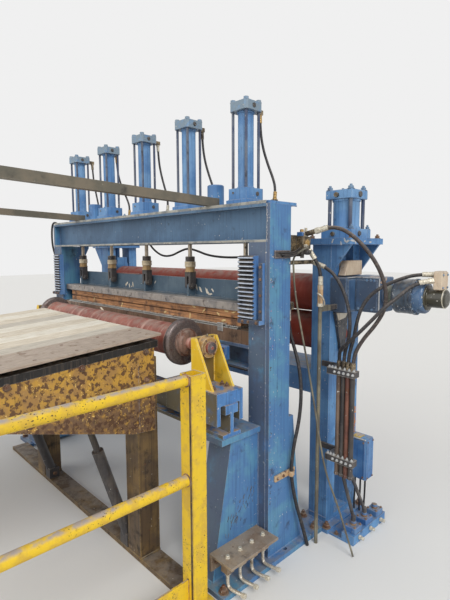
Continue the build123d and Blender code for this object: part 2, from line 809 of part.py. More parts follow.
def sloping_plate(x0, x1, y0, y1, above, below):
    """Plate that follows the table's slope, between two depths under its top."""
    return side_profile([(y0, table_height(y0, above)), (y1, table_height(y1, above)),
                         (y1, table_height(y1, below)), (y0, table_height(y0, below))], x0, x1)


def table_deck():
    """Wood planks of the table."""
    return sloping_plate(table_far_x, table_plank_x, table_end_y, table_rear_y, 0, deck_thick)


def table_side_deck():
    """Steel plate beside the planks, on the operator's side, on its packing bar."""
    plate = sloping_plate(table_plank_x, table_near_x, table_end_y, table_rear_y, 0, side_deck_thick)
    packing = sloping_plate(table_plank_x, table_plank_x + table_cross_size, table_end_y, table_rear_y,
                            side_deck_thick, deck_thick)
    return plate + packing


def table_frame():
    """Deep side plates and the tubes between them, right under the deck."""
    points = [(side_plate_front_y, side_plate_front_z),
              (side_plate_front_y, table_height(side_plate_front_y, deck_thick)),
              (table_rear_y, table_height(table_rear_y, deck_thick)),
              (table_rear_y, table_height(table_rear_y, deck_thick + side_plate_rear_depth)),
              (side_plate_rear_y, table_height(side_plate_rear_y, deck_thick + side_plate_rear_depth)),
              (side_plate_knee_y, side_plate_knee_z)]
    near_x = table_near_x - side_inset
    far_x = table_far_x + side_inset
    frame = side_profile(points, near_x - side_plate_thick, near_x)
    frame += side_profile(points, far_x, far_x + side_plate_thick)
    for y in table_cross_y:
        frame += sloping_plate(far_x + side_plate_thick, near_x - side_plate_thick,
                               y - table_cross_size / 2, y + table_cross_size / 2,
                               deck_thick, deck_thick + table_cross_size)
    return frame


def box_post(x0, x1, y0, y1, foot_z, top_z):
    """Square tube, closed at both ends."""
    wall = table_post_wall
    post = block(x0, x1, y0, y1, foot_z, top_z)
    return post - block(x0 + wall, x1 - wall, y0 + wall, y1 - wall, foot_z + wall, top_z - wall)


def table_posts():
    """Box posts welded inside the side plates, the front ones on a sole bar that meets the base plates."""
    end_x = guard_x - guard_foot_size / 2
    front = block(-end_x, end_x, table_post_front_y - table_post_size, base_front_y, 0, base_thick)
    posts = []
    near_x = table_near_x - side_inset - side_plate_thick
    far_x = table_far_x + side_inset + side_plate_thick
    for x0, x1 in ((near_x - table_post_size, near_x), (far_x, far_x + table_post_size)):
        front_y = table_post_front_y - table_post_size
        front_top = table_height(front_y, deck_thick + table_cross_size)
        front += box_post(x0, x1, front_y, table_post_front_y, base_thick, front_top)
        rear_y = table_rear_post_y - table_post_size / 2
        rear_top = table_height(rear_y, deck_thick)
        posts.append(box_post(x0, x1, rear_y, rear_y + table_post_size, 0, rear_top))
    return Compound(children=[front, *posts])


def table_struts():
    """Slanting struts from lugs on the sole bar to the second cross tube, a tube with a thinner rod."""
    struts = []
    half = strut_lug_size / 2
    top_y = table_cross_y[1]
    for x in (table_far_x + strut_inset, table_near_x - strut_inset):
        start = Vector(x, strut_foot_y, base_thick + half)
        under_tube = deck_thick + table_cross_size
        end = Vector(x, top_y, table_height(top_y, under_tube) - half)
        middle = start + (end - start).normalized() * strut_tube_length
        strut = tube_between(start, middle, strut_dia) + tube_between(middle, end, strut_rod_dia)
        strut += block(x - half, x + half, strut_foot_y - half, strut_foot_y + half,
                       base_thick, base_thick + strut_lug_size)
        strut += side_profile([(top_y - half / 2, end.Z - half / 2), (top_y + half / 2, end.Z - half / 2),
                               (top_y + half / 2, table_height(top_y + half / 2, under_tube)),
                               (top_y - half / 2, table_height(top_y - half / 2, under_tube))],
                              x - half / 2, x + half / 2)
        struts.append(strut)
    return Compound(children=struts)


def guard_rail():
    """Welded guard rail: two square posts, two pipes and a toe board."""
    rear_y = guard_post_y - guard_length
    rail = None
    for y in (guard_post_y, rear_y):
        post = block(guard_x - guard_post_size / 2, guard_x + guard_post_size / 2,
                     y - guard_post_size / 2, y + guard_post_size / 2, 0, guard_top_z)
        post -= block(guard_x - guard_post_size / 2 + guard_post_wall,
                      guard_x + guard_post_size / 2 - guard_post_wall,
                      y - guard_post_size / 2 + guard_post_wall,
                      y + guard_post_size / 2 - guard_post_wall, guard_foot_thick, guard_top_z)
        foot = block(guard_x - guard_foot_size / 2, guard_x + guard_foot_size / 2,
                     y - guard_foot_size / 2, y + guard_foot_size / 2, 0, guard_foot_thick)
        for dx in (-guard_anchor_offset, guard_anchor_offset):
            foot -= upright(guard_anchor_dia, guard_x + dx, y, 0, guard_foot_thick)
        rail = post + foot if rail is None else rail + post + foot
    y0 = rear_y + guard_post_size / 2
    y1 = guard_post_y - guard_post_size / 2
    for z in (guard_top_z - guard_pipe_dia / 2, guard_mid_z):
        pipe = lengthwise(guard_pipe_dia, guard_x, z, y0, y1)
        pipe -= lengthwise(guard_pipe_dia - 2 * guard_pipe_wall, guard_x, z, y0, y1)
        rail += pipe
    rail += block(guard_x - guard_toe_thick / 2, guard_x + guard_toe_thick / 2, y0, y1,
                  guard_toe_bottom_z, guard_toe_bottom_z + guard_toe_height)
    return rail


def overhead_bar():
    """Square bar laid on the crown and running upstream."""
    rise = bar_length * (Vector(1, 0, 0).rotate(Axis.Z, bar_rise).Y)
    rear_y = bar_end_y - bar_length
    crown_edge_y = -crown_plate_half_depth
    points = [(bar_end_y, plate_top_z), (crown_edge_y, plate_top_z), (rear_y, plate_top_z + rise),
              (rear_y, plate_top_z + rise + bar_size), (crown_edge_y, plate_top_z + bar_size),
              (bar_end_y, plate_top_z + bar_size)]
    return side_profile(points, bar_x - bar_size / 2, bar_x + bar_size / 2)


def housing():
    """Pinch stand side: hollow posts, sill, shelf for the lower chock and bracketed top plate."""
    x0 = housing_inner_x
    x1 = housing_outer_x
    body = block(x0, x1, post_front_y, post_rear_y, 0, housing_sill_height)
    body += block(x0, x1, window_front_y, window_rear_y, housing_shelf_z - housing_shelf_height,
                  housing_shelf_z)
    for y0 in (post_front_y, window_rear_y):
        post = block(x0, x1, y0, y0 + post_depth, 0, top_plate_bottom_z)
        post -= block(x0 + post_wall, x1 - post_wall, y0 + post_wall, y0 + post_depth - post_wall,
                      housing_sill_height, top_plate_bottom_z - post_wall)
        body += post
    for y0, y1 in ((post_front_y, post_front_y + top_gusset_thick),
                   (post_rear_y - top_gusset_thick, post_rear_y)):
        body += front_profile([(x1, top_plate_bottom_z), (x1, top_plate_bottom_z - top_gusset_height),
                               (top_plate_outer_x - top_gusset_inset, top_plate_bottom_z)], y0, y1)
    plate = block(top_plate_inner_x, top_plate_outer_x, pinch_y - top_plate_half_depth,
                  pinch_y + top_plate_half_depth, top_plate_bottom_z, top_plate_bottom_z + top_plate_thick)
    plate -= upright(pinch_rod_dia + 2 * top_plate_bore_gap, pinch_cylinder_x, pinch_y, top_plate_bottom_z,
                     top_plate_bottom_z + top_plate_thick)
    foot = block(*housing_foot_x, *housing_foot_y, 0, housing_foot_thick)
    for x in (housing_foot_x[0] + housing_anchor_inset, housing_foot_x[1] - housing_anchor_inset):
        for y in (housing_foot_y[0] + housing_anchor_inset, housing_foot_y[1] - housing_anchor_inset):
            foot -= upright(anchor_dia, x, y, 0, housing_foot_thick)
    return body + plate + foot


def pinch_cylinder():
    """Short, large-bore tie-rod cylinder on the housing."""
    x = pinch_cylinder_x
    z0 = top_plate_bottom_z + top_plate_thick
    z1 = z0 + pinch_base_height
    z2 = z1 + pinch_barrel_height
    z3 = z2 + pinch_cap_height
    half = pinch_base_size / 2
    cap_half = pinch_cap_size / 2
    body = block(x - half, x + half, pinch_y - half, pinch_y + half, z0, z1)
    body += upright(pinch_barrel_dia, x, pinch_y, z1, z2)
    cap = block(x - cap_half, x + cap_half, pinch_y - cap_half, pinch_y + cap_half, z2, z3)
    body += chamfer(cap.edges().filter_by(Axis.Z), cap_chamfer)
    for dx in (-pinch_tie_offset, pinch_tie_offset):
        for dy in (-pinch_tie_offset, pinch_tie_offset):
            body += slim_bar(pinch_tie_dia, x + dx, pinch_y + dy, z1, z2)
            body += hexagon_nut(pinch_nut_width, pinch_nut_height, x + dx, pinch_y + dy, z3)
    bore_top_z = z1 + pinch_rod_entry + pinch_travel + 2 * running_gap
    body -= upright(pinch_rod_dia + 2 * rod_clearance, x, pinch_y, z0, bore_top_z)
    return body


def upper_chock():
    """Bearing chock of the upper roll with its tapered yoke and rod."""
    x0 = housing_inner_x + chock_gap
    x1 = housing_outer_x - chock_gap
    y0 = window_front_y + chock_gap
    y1 = window_rear_y - chock_gap
    z0 = upper_roll_z - chock_height / 2
    z1 = upper_roll_z + chock_height / 2
    body = block(x0, x1, y0, y1, z0, z1)
    yoke_y = chock_yoke_width / 2
    body += side_profile([(y0, z1), (y1, z1), (pinch_y + yoke_y, z1 + chock_yoke_height / 2),
                          (pinch_y + yoke_y, z1 + chock_yoke_height),
                          (pinch_y - yoke_y, z1 + chock_yoke_height),
                          (pinch_y - yoke_y, z1 + chock_yoke_height / 2)], x0, x1)
    rod_top = top_plate_bottom_z + top_plate_thick + pinch_base_height + pinch_rod_entry
    body += upright(pinch_rod_dia, pinch_cylinder_x, pinch_y, z1, rod_top)
    body -= crosswise(pinch_journal_dia + 2 * journal_gap, pinch_y, upper_roll_z, x0, x1)
    return body


def lower_chock():
    """Bearing chock of the lower roll, standing on the housing's shelf."""
    x0 = housing_inner_x + chock_gap
    x1 = housing_outer_x - chock_gap
    body = block(x0, x1, window_front_y + chock_gap, window_rear_y - chock_gap,
                 housing_shelf_z, lower_roll_z + chock_height / 2 - lower_chock_drop)
    body -= crosswise(pinch_journal_dia + 2 * journal_gap, pinch_y, lower_roll_z, x0, x1)
    return body


def pinch_roll(z):
    """Hollow roll with journals in both chocks."""
    end_x = housing_outer_x - chock_gap - journal_inset
    return hollow_roll(pinch_roll_dia, pinch_roll_wall, pinch_roll_half_length, pinch_journal_dia,
                       end_x, pinch_y, z)


def stand_beam():
    """Box beam between the two housings, below the rolls."""
    z1 = housing_shelf_z - housing_shelf_height
    z0 = z1 - pinch_beam_height
    beam = block(-housing_inner_x, housing_inner_x, post_front_y, post_rear_y, z0, z1)
    beam -= block(-housing_inner_x, housing_inner_x, post_front_y + pinch_beam_wall,
                  post_rear_y - pinch_beam_wall, z0 + pinch_beam_wall, z1 - pinch_beam_wall)
    return beam


def drive_case():
    """Closed gear case on the near housing."""
    x0 = housing_outer_x
    case = block(x0, x0 + drive_case_width, pinch_y - drive_case_depth / 2, pinch_y + drive_case_depth / 2,
                 drive_case_bottom_z, drive_case_top_z)
    return fillet(case.edges().filter_by(Axis.X), drive_case_round)


def drive_motor():
    """Motor with its bell, on the gear case."""
    x0 = housing_outer_x + drive_case_width
    x1 = x0 + motor_bell_length
    x2 = x1 + motor_length
    body = crosswise(motor_bell_dia, pinch_y, motor_z, x0, x1)
    body += crosswise(motor_flange_dia, pinch_y, motor_z, x0, x0 + motor_flange_thick)
    body += crosswise(motor_ring_dia, pinch_y, motor_z, x1 - motor_ring_thick, x1)
    body += crosswise(motor_dia, pinch_y, motor_z, x1, x2)
    end = crosswise(motor_cap_dia, pinch_y, motor_z, x2, x2 + motor_cap_length)
    body += chamfer(end.edges().group_by(Axis.X)[-1], motor_cap_chamfer)
    x3 = x2 + motor_cap_length - motor_cap_chamfer
    body += block(x3 - motor_port_length, x3, *motor_port_y, *motor_port_z)
    for route in (motor_upper_hose_route, motor_lower_hose_route):
        body += ferrule(route, ferrule_dia, ferrule_reach)
    return body


def pipe_bank():
    """Row of steel pipes in two clamp bars bracketed off the near housing, and slanting tubes below."""
    first_x = pipe_first_x - clamp_reach
    last_x = pipe_first_x + (pipe_count - 1) * pipe_pitch + clamp_tail
    front_y = pipe_y - clamp_depth / 2
    bank = None
    for z in (clamp_low_z, clamp_high_z):
        bar = block(first_x, last_x, front_y, front_y + clamp_depth, z, z + clamp_height)
        bar += block(first_x, first_x + clamp_arm_width, front_y + clamp_depth, post_front_y,
                     z, z + clamp_height)
        bar += block(housing_outer_x - clamp_arm_width, first_x + clamp_arm_width,
                     post_front_y - clamp_arm_thick, post_front_y, z, z + clamp_height)
        bank = bar if bank is None else bank + bar
    for i in range(pipe_count):
        bank += slim_bar(pipe_dia, pipe_first_x + i * pipe_pitch, pipe_y, pipe_bottom_z,
                         clamp_high_z + clamp_height)
    foot_z = manifold_height + manifold_block_height + manifold_cap_height
    for i in range(manifold_blocks - 1):
        top = Vector(pipe_first_x + (2 * i + 1) * pipe_pitch, pipe_y, pipe_bottom_z + pipe_dia)
        foot_y = manifold_y + manifold_length * (i + 0.5) / manifold_blocks
        foot = Vector(manifold_x + manifold_depth / 2, foot_y, foot_z + slant_ferrule_height / 2)
        bank += tube_between(top, foot, slant_tube_dia)
        bank += upright(ferrule_dia, foot.X, foot_y, foot_z, foot_z + slant_ferrule_height)
    return bank


def junction_box():
    """Closed box on the near housing's rear post."""
    y0 = window_rear_y
    x0 = housing_outer_x
    box = block(x0, x0 + junction_width, y0, y0 + junction_depth, junction_z, junction_z + junction_height)
    return fillet(box.edges().filter_by(Axis.Z), junction_round)


def floor_manifold():
    """Row of valve blocks on a plate from the near housing's foot."""
    x0 = manifold_x + manifold_block_inset
    x1 = manifold_x + manifold_depth - manifold_block_inset
    block_top_z = manifold_height + manifold_block_height
    body = block(manifold_x, manifold_x + manifold_depth, manifold_y, manifold_y + manifold_length,
                 0, manifold_height)
    body += block(housing_foot_x[1], manifold_x + manifold_depth, manifold_y, manifold_y + manifold_length,
                  0, manifold_foot_thick)
    for i in range(manifold_blocks):
        y = manifold_y + manifold_length * (i + 0.5) / manifold_blocks
        body += block(x0, x1, y - manifold_block_length / 2, y + manifold_block_length / 2,
                      manifold_height, block_top_z)
        body += upright(manifold_cap_dia, (x0 + x1) / 2, y, block_top_z, block_top_z + manifold_cap_height)
    return body


def leg_manifold():
    """Angle with pipe elbows at the foot of the near leg."""
    y0, y1 = leg_angle_y
    x0 = leg_outer_x
    under_z = leg_angle_top_z - leg_angle_thick
    body = block(x0, x0 + leg_angle_reach, y0, y1, under_z, leg_angle_top_z)
    body += block(x0, x0 + leg_angle_thick, y0, y1, leg_angle_top_z - leg_angle_height, leg_angle_top_z)
    half = leg_elbow_size / 2
    for i in range(leg_elbow_count):
        y = y0 + (y1 - y0) * (i + 0.5) / leg_elbow_count
        x = x0 + leg_elbow_x
        body += block(x - half, x + half, y - half, y + half, under_z - leg_elbow_height, under_z)
    return body


def hose_fittings():
    """Valve block and elbows behind the near column, its clip bar, and the rear hose's two ends."""
    x0 = cheek_inner_x
    x1 = x0 + fitting_plate_thick
    valve = block(x0, x1, column_rear_y, column_rear_y + fitting_plate_depth, *fitting_plate_z)
    valve += block(x1, x1 + valve_width, *valve_y, *valve_z)
    valve += ferrule(arch_hose_route, ferrule_dia, arch_ferrule_reach)
    valve += ferrule(sleeve_hose_route, ferrule_dia, ferrule_reach)
    port_end = Vector(*port_hose_route[0])
    port_elbow = port_end + (port_end - Vector(*port_hose_route[1])).normalized() * ferrule_reach
    half = column_elbow_size / 2
    port = tube_between(Vector(port_pipe_x, column_rear_y + half, port_pipe_z), port_elbow, port_pipe_dia)
    port += ferrule(port_hose_route, ferrule_dia, ferrule_reach)
    port += block(port_pipe_x - half, port_pipe_x + half, column_rear_y, column_rear_y + column_elbow_size,
                  port_pipe_z - half, port_pipe_z + half)
    start = Vector(*column_hose_route[0])
    elbow_z = start.Z + ferrule_reach / 2
    elbow = block(start.X - half, start.X + half, column_rear_y, column_rear_y + column_elbow_depth,
                  elbow_z, elbow_z + column_elbow_size)
    elbow += ferrule(column_hose_route, ferrule_dia, ferrule_reach)
    clip_bar = block(cheek_outer_x, cheek_outer_x + clip_bar_thick, *clip_bar_y,
                     clip_bar_z, clip_bar_z + clip_bar_height)
    rear = ferrule(rear_hose_route, cylinder_ferrule_dia, ferrule_reach + 2 * cylinder_ferrule_dia)
    rear &= block(0, column_inner_x, 0, crown_half_depth, 0, crown_bottom_z)
    web_y = crown_half_depth - crown_flange_reach + crown_web_thick
    rear_x = rear_hose_route[-1][0]
    last = ferrule(rear_hose_route[::-1], cylinder_ferrule_dia, ferrule_reach)
    last += block(rear_x - rear_elbow_half, rear_x + rear_elbow_half, web_y, rear_elbow_y, *rear_elbow_z)
    return Compound(children=[valve, port, elbow, clip_bar, rear, last])


def cylinder_hose_route(i):
    """Points of the hose behind one press cylinder."""
    start = cylinder_x[i] + cylinder_hose_starts[i]
    end = cylinder_x[i] + cylinder_hose_ends[i]
    return [(start + (end - start) * share, y, z) for share, y, z in cylinder_hose_steps]


def cylinder_fittings():
    """Elbows on the press cylinders' caps, and the stubs on the crown that their hoses end on."""
    pieces = []
    for i in range(cylinder_count):
        route = cylinder_hose_route(i)
        x, y, z = route[0]
        elbow = block(x - cylinder_elbow_half, x + cylinder_elbow_half, head_size / 2, cylinder_elbow_y,
                      z + cylinder_elbow_half, z + 3 * cylinder_elbow_half)
        pieces.append(elbow + ferrule(route, cylinder_ferrule_dia, cylinder_ferrule_reach))
        x = route[-1][0]
        stub = block(x - cylinder_stub_half, x + cylinder_stub_half,
                     crown_plate_half_depth - 2 * cylinder_stub_half, crown_plate_half_depth,
                     plate_top_z, route[-1][2] - cylinder_elbow_half)
        pieces.append(stub + ferrule(route[::-1], cylinder_ferrule_dia, cylinder_ferrule_reach))
    return Compound(children=pieces)


def drop_pipes():
    """Upright pipe with its sleeve, held off the gear case, and the thin pipe that drops to the floor."""
    x, y, sleeve_top_z = sleeve_hose_route[-1]
    pipe = upright(drop_pipe_dia, x, y, 0, drop_pipe_top_z)
    pipe += upright(sleeve_dia, x, y, drop_pipe_top_z, sleeve_top_z)
    case_front_y = pinch_y - drive_case_depth / 2
    pipe += block(x - drop_pipe_dia / 2, x + drop_pipe_dia / 2, y, case_front_y,
                  drop_pipe_top_z - sleeve_arm_height, drop_pipe_top_z)
    thin, length, radii = bent_tube(thin_pipe_dia, thin_pipe_route)
    return Compound(children=[pipe, thin])


def write(name, shape):
    """Write one sub-part's file."""
    export_step(shape, f"parts/{name}.step")


def main():
    os.makedirs("parts", exist_ok=True)
    for name, build in (("column", column), ("housing", housing)):
        piece = build()
        write(f"near_{name}", piece)
        write(f"far_{name}", far(piece))
    write("base_plates", pair(base_plate()))
    write("legs", pair(leg()))
    write("racks", pair(rack()))
    write("roll_brackets", pair(roll_bracket()))
    write("saddles", pair(saddle()))
    write("overhead_bars", pair(overhead_bar()))
    write("pinch_cylinders", pair(pinch_cylinder()))
    write("upper_chocks", pair(upper_chock()))
    write("lower_chocks", pair(lower_chock()))
    rear_channel = crown_channel(column_inner_x + crown_rear_overhang).mirror(Plane.XZ)
    write("crown_channels", Compound(children=[crown_channel(cheek_inner_x), rear_channel]))
    write("crown_plate", crown_plate())
    write("balance_cans", balance_cans())
    write("press_cylinders", Compound(children=[press_cylinder(x) for x in cylinder_x]))
    write("cylinder_fittings", cylinder_fittings())
    write("press_rods", press_rods())
    write("rod_clevises", rod_clevises())
    write("press_beam", press_beam())
    write("upper_wood_pad", pad(upper_pad_z, beam_base_z))
    write("lower_wood_pad", pad(lower_pad_z, lower_pad_top_z))
    write("lower_pad_strip", pad(lower_strip_z, lower_pad_z))
    write("lower_platen", lower_platen())
    write("bed_beam", bed_beam())
    write("pass_roll", pass_roll())
    write("pass_roll_flanges", pass_roll_flanges())
    write("cross_rail", cross_rail())
    write("table_deck", table_deck())
    write("table_side_deck", table_side_deck())
    write("table_frame", table_frame())
    write("table_posts", table_posts())
    write("table_struts", table_struts())
    write("guard_rail", guard_rail())
    write("upper_pinch_roll", pinch_roll(upper_roll_z))
    write("lower_pinch_roll", pinch_roll(lower_roll_z))
    write("stand_beam", stand_beam())
    write("drive_case", drive_case())
    write("drive_motor", drive_motor())
    write("pipe_bank", pipe_bank())
    write("junction_box", junction_box())
    write("floor_manifold", floor_manifold())
    write("leg_manifold", leg_manifold())
    write("hose_fittings", hose_fittings())
    write("drop_pipes", drop_pipes())
    hose("arch_hose", arch_hose_dia, arch_hose_route)
    hose("port_hose", hose_dia, port_hose_route)
    hose("motor_upper_hose", hose_dia, motor_upper_hose_route)
    hose("motor_lower_hose", hose_dia, motor_lower_hose_route)
    hose("column_hose", column_hose_dia, column_hose_route)
    hose("sleeve_hose", hose_dia, sleeve_hose_route)
    hose("rear_hose", rear_hose_dia, rear_hose_route)
    for i in range(cylinder_count):
        hose(f"cylinder_{i + 1}_hose", cylinder_hose_dia, cylinder_hose_route(i))


main()
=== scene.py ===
"""Looks of the entry press and pinch roll stand of a slitting line, built around its CAD frame.

Metres.  X runs across the line and +X is the operator's side, +Y is downstream, +Z is up.
"""
import logging
import math
import random
from collections.abc import Sequence
from dataclasses import dataclass
from enum import Enum
from itertools import product
from typing import ClassVar

import bmesh
import bpy
from mathutils import Matrix, Vector, noise

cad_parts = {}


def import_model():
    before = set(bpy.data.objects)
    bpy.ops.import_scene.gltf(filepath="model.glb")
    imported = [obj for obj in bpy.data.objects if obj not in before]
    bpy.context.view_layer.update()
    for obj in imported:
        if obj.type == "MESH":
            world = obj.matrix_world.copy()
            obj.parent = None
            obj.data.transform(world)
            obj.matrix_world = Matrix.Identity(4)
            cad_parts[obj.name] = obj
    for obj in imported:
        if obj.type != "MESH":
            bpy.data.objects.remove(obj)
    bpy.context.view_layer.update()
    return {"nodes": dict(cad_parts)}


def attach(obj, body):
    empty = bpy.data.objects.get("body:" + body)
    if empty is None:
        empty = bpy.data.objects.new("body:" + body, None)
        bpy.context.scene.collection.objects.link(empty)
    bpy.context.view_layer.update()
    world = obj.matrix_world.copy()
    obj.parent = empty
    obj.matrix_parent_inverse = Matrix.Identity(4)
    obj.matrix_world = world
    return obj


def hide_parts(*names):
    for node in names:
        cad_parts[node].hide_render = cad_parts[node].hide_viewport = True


LOG = logging.getLogger("press_stand")

Colour = tuple[int, int, int]
Point = tuple[float, float, float]
Spot = Point | Vector
Profile = Sequence[tuple[float, float]]
Socket = bpy.types.NodeSocket
UP = Vector((0, 0, 1))
ALONG_X = Vector((1, 0, 0))
ALONG_Y = Vector((0, 1, 0))
MIRROR = Matrix.Scale(-1, 4, ALONG_X)
CORNERS_OF_HEXAGON = 1.1547
TWIN_POINTS = 1e-6


class Body(str, Enum):
    """Moving and fixed bodies of the CAD frame."""

    FRAME = "frame"
    PRESS_BEAM = "press_beam_body"
    PASS_ROLL = "pass_roll_body"
    CHOCKS = "upper_pinch_body"
    UPPER_ROLL = "upper_roll_body"
    LOWER_ROLL = "lower_roll_body"


def linear(colour: Colour) -> tuple[float, float, float, float]:
    """Turn an 8-bit screen colour into Blender's linear colour.

    Args:
        colour: Red, green and blue from 0 to 255.

    Returns:
        The linear colour with full alpha.
    """
    shares = [value / 255 for value in colour]
    return (*(s / 12.92 if s <= 0.04045 else ((s + 0.055) / 1.055) ** 2.4 for s in shares), 1.0)


def add_node(
        tree: bpy.types.NodeTree, kind: str, inputs: dict | None = None, output: int | str = 0,
        **settings: object) -> Socket:
    """Add a node to a tree and join or set its inputs.

    Args:
        tree: Node tree that takes it.
        kind: Blender's name for the node.
        inputs: Sockets or plain values by input name or index.
        output: Which output to hand back.
        settings: Properties of the node itself.

    Returns:
        The chosen output socket.
    """
    made = tree.nodes.new(kind)
    for name, value in settings.items():
        setattr(made, name, value)
    for key, value in (inputs or {}).items():
        if isinstance(value, Socket):
            tree.links.new(value, made.inputs[key])
        else:
            made.inputs[key].default_value = value
    return made.outputs[output]


class Graph:
    """Node graph of one finish, with a short call for each node that the finishes share."""

    def __init__(self, name: str) -> None:
        """Start an empty material that reads object coordinates."""
        self.material = bpy.data.materials.new(name)
        self.material.use_nodes = True
        self.tree = self.material.node_tree
        self.tree.nodes.clear()
        self.place = self.node("ShaderNodeTexCoord", output="Object")
        self.normal = self.node("ShaderNodeNewGeometry", output="Normal")

    def node(self, kind: str, inputs: dict | None = None, output: int | str = 0, **settings: object) -> Socket:
        """Add a node to the finish's own tree, as add_node does."""
        return add_node(self.tree, kind, inputs, output, **settings)

    def math(self, operation: str, first: Socket | float, second: Socket | float = 0.0) -> Socket:
        """Join two numbers by one operation, held between 0 and 1."""
        return self.node("ShaderNodeMath", {0: first, 1: second}, operation=operation, use_clamp=True)

    def both(self, first: Socket | float, second: Socket | float) -> Socket:
        """Multiply two masks, or a mask by a share."""
        return self.math("MULTIPLY", first, second)

    def mix(self, first: Socket | Colour, second: Socket | Colour, share: Socket | float) -> Socket:
        """Blend two colours."""
        ends = [c if isinstance(c, Socket) else linear(c) for c in (first, second)]
        return self.node("ShaderNodeMix", {0: share, 6: ends[0], 7: ends[1]}, 2, data_type="RGBA")

    def lay(self, under: Socket, over: Colour, mask: Socket, share: float) -> Socket:
        """Lay a colour over another by a share of a mask."""
        return self.mix(under, over, self.both(mask, share))

    def rise(self, value: Socket, low: float, high: float) -> Socket:
        """Soft step from 0 at low to 1 at high."""
        limits = {"Value": value, "From Min": low, "From Max": high}
        return self.node("ShaderNodeMapRange", limits, interpolation_type="SMOOTHSTEP")

    def fall(self, value: Socket, low: float, high: float) -> Socket:
        """Soft step from 1 at low to 0 at high."""
        return self.math("SUBTRACT", 1.0, self.rise(value, low, high))

    def spots(self, size: float, detail: float = 3.0, stretch: Point = (1, 1, 1), seed: float = 0.0) -> Socket:
        """Cloudy pattern around one half.

        Args:
            size: Width of a spot in metres.
            detail: Octaves of finer noise.
            stretch: How many times as close the spots lie along X, Y and Z.
            seed: Shift that gives another pattern.

        Returns:
            The pattern's value.
        """
        scale = tuple(share / size for share in stretch)
        moved = self.node("ShaderNodeMapping", {"Vector": self.place, "Location": (seed, seed, seed), "Scale": scale})
        return self.node("ShaderNodeTexNoise", {"Vector": moved, "Scale": 1.0, "Detail": detail, "Roughness": 0.6})

    def patches(self, size: float, detail: float, seed: float, low: float, high: float) -> Socket:
        """Soft-edged patches: the cloudy pattern of that size, from 0 at low to 1 at high."""
        return self.rise(self.spots(size, detail, seed=seed), low, high)

    def runs(self, width: float, length: float, seed: float = 0.0) -> Socket:
        """Upright streaks, as grime and water leave on a wall."""
        return self.spots(width, 2.0, (1, 1, width / length), seed)

    def edges(self, radius: float) -> Socket:
        """Mask of outer and inner edges, 1 where the surface turns within the radius."""
        rounded = self.node("ShaderNodeBevel", {"Radius": radius}, samples=4)
        same = self.node("ShaderNodeVectorMath", {0: rounded, 1: self.normal}, "Value", operation="DOT_PRODUCT")
        return self.fall(same, 0.86, 0.99)

    def facing(self, axis: str, low: float, high: float) -> Socket:
        """Mask of faces that look along a signed axis, such as +Z."""
        parts = self.node("ShaderNodeSeparateXYZ", {0: self.normal}, "XYZ".index(axis[1]))
        sign = 1.0 if axis[0] == "+" else -1.0
        turned = self.node("ShaderNodeMath", {0: parts, 1: sign}, operation="MULTIPLY")
        return self.rise(turned, low, high)

    def reach(self, axis: str, low: float, high: float) -> Socket:
        """Soft step from 0 at low to 1 at high along X, Y or Z, in metres."""
        return self.rise(self.node("ShaderNodeSeparateXYZ", {0: self.place}, "XYZ".index(axis)), low, high)

    def surface(
            self, colour: Socket, roughness: Socket | float, height: Socket, depth: float,
            metallic: float | Socket = 0.0) -> bpy.types.Material:
        """Close the graph with one shader.

        Args:
            colour: Base colour.
            roughness: Surface roughness.
            height: Relief from 0 to 1.
            depth: Depth of the relief in metres.
            metallic: Share of bare metal.

        Returns:
            The finished material.
        """
        relief = self.node("ShaderNodeBump", {"Strength": 0.7, "Distance": depth, "Height": height})
        shader = self.node(
            "ShaderNodeBsdfPrincipled", {"Base Color": colour, "Roughness": roughness, "Metallic": metallic,
            "Normal": relief})
        ending = self.tree.nodes.new("ShaderNodeOutputMaterial")
        self.tree.links.new(shader, ending.inputs["Surface"])
        return self.material


@dataclass(frozen=True)
class Finish:
    """A surface finish, made once and shared by every piece that wears it."""

    name: str
    made: ClassVar[dict[str, bpy.types.Material]] = {}

    def material(self) -> bpy.types.Material:
        """Give the finish's material, making it on first use."""
        if self.name not in Finish.made:
            Finish.made[self.name] = self.build(Graph(self.name))
        return Finish.made[self.name]

    def build(self, graph: Graph) -> bpy.types.Material:
        """Make the material's nodes; each kind of finish has its own."""
        raise NotImplementedError


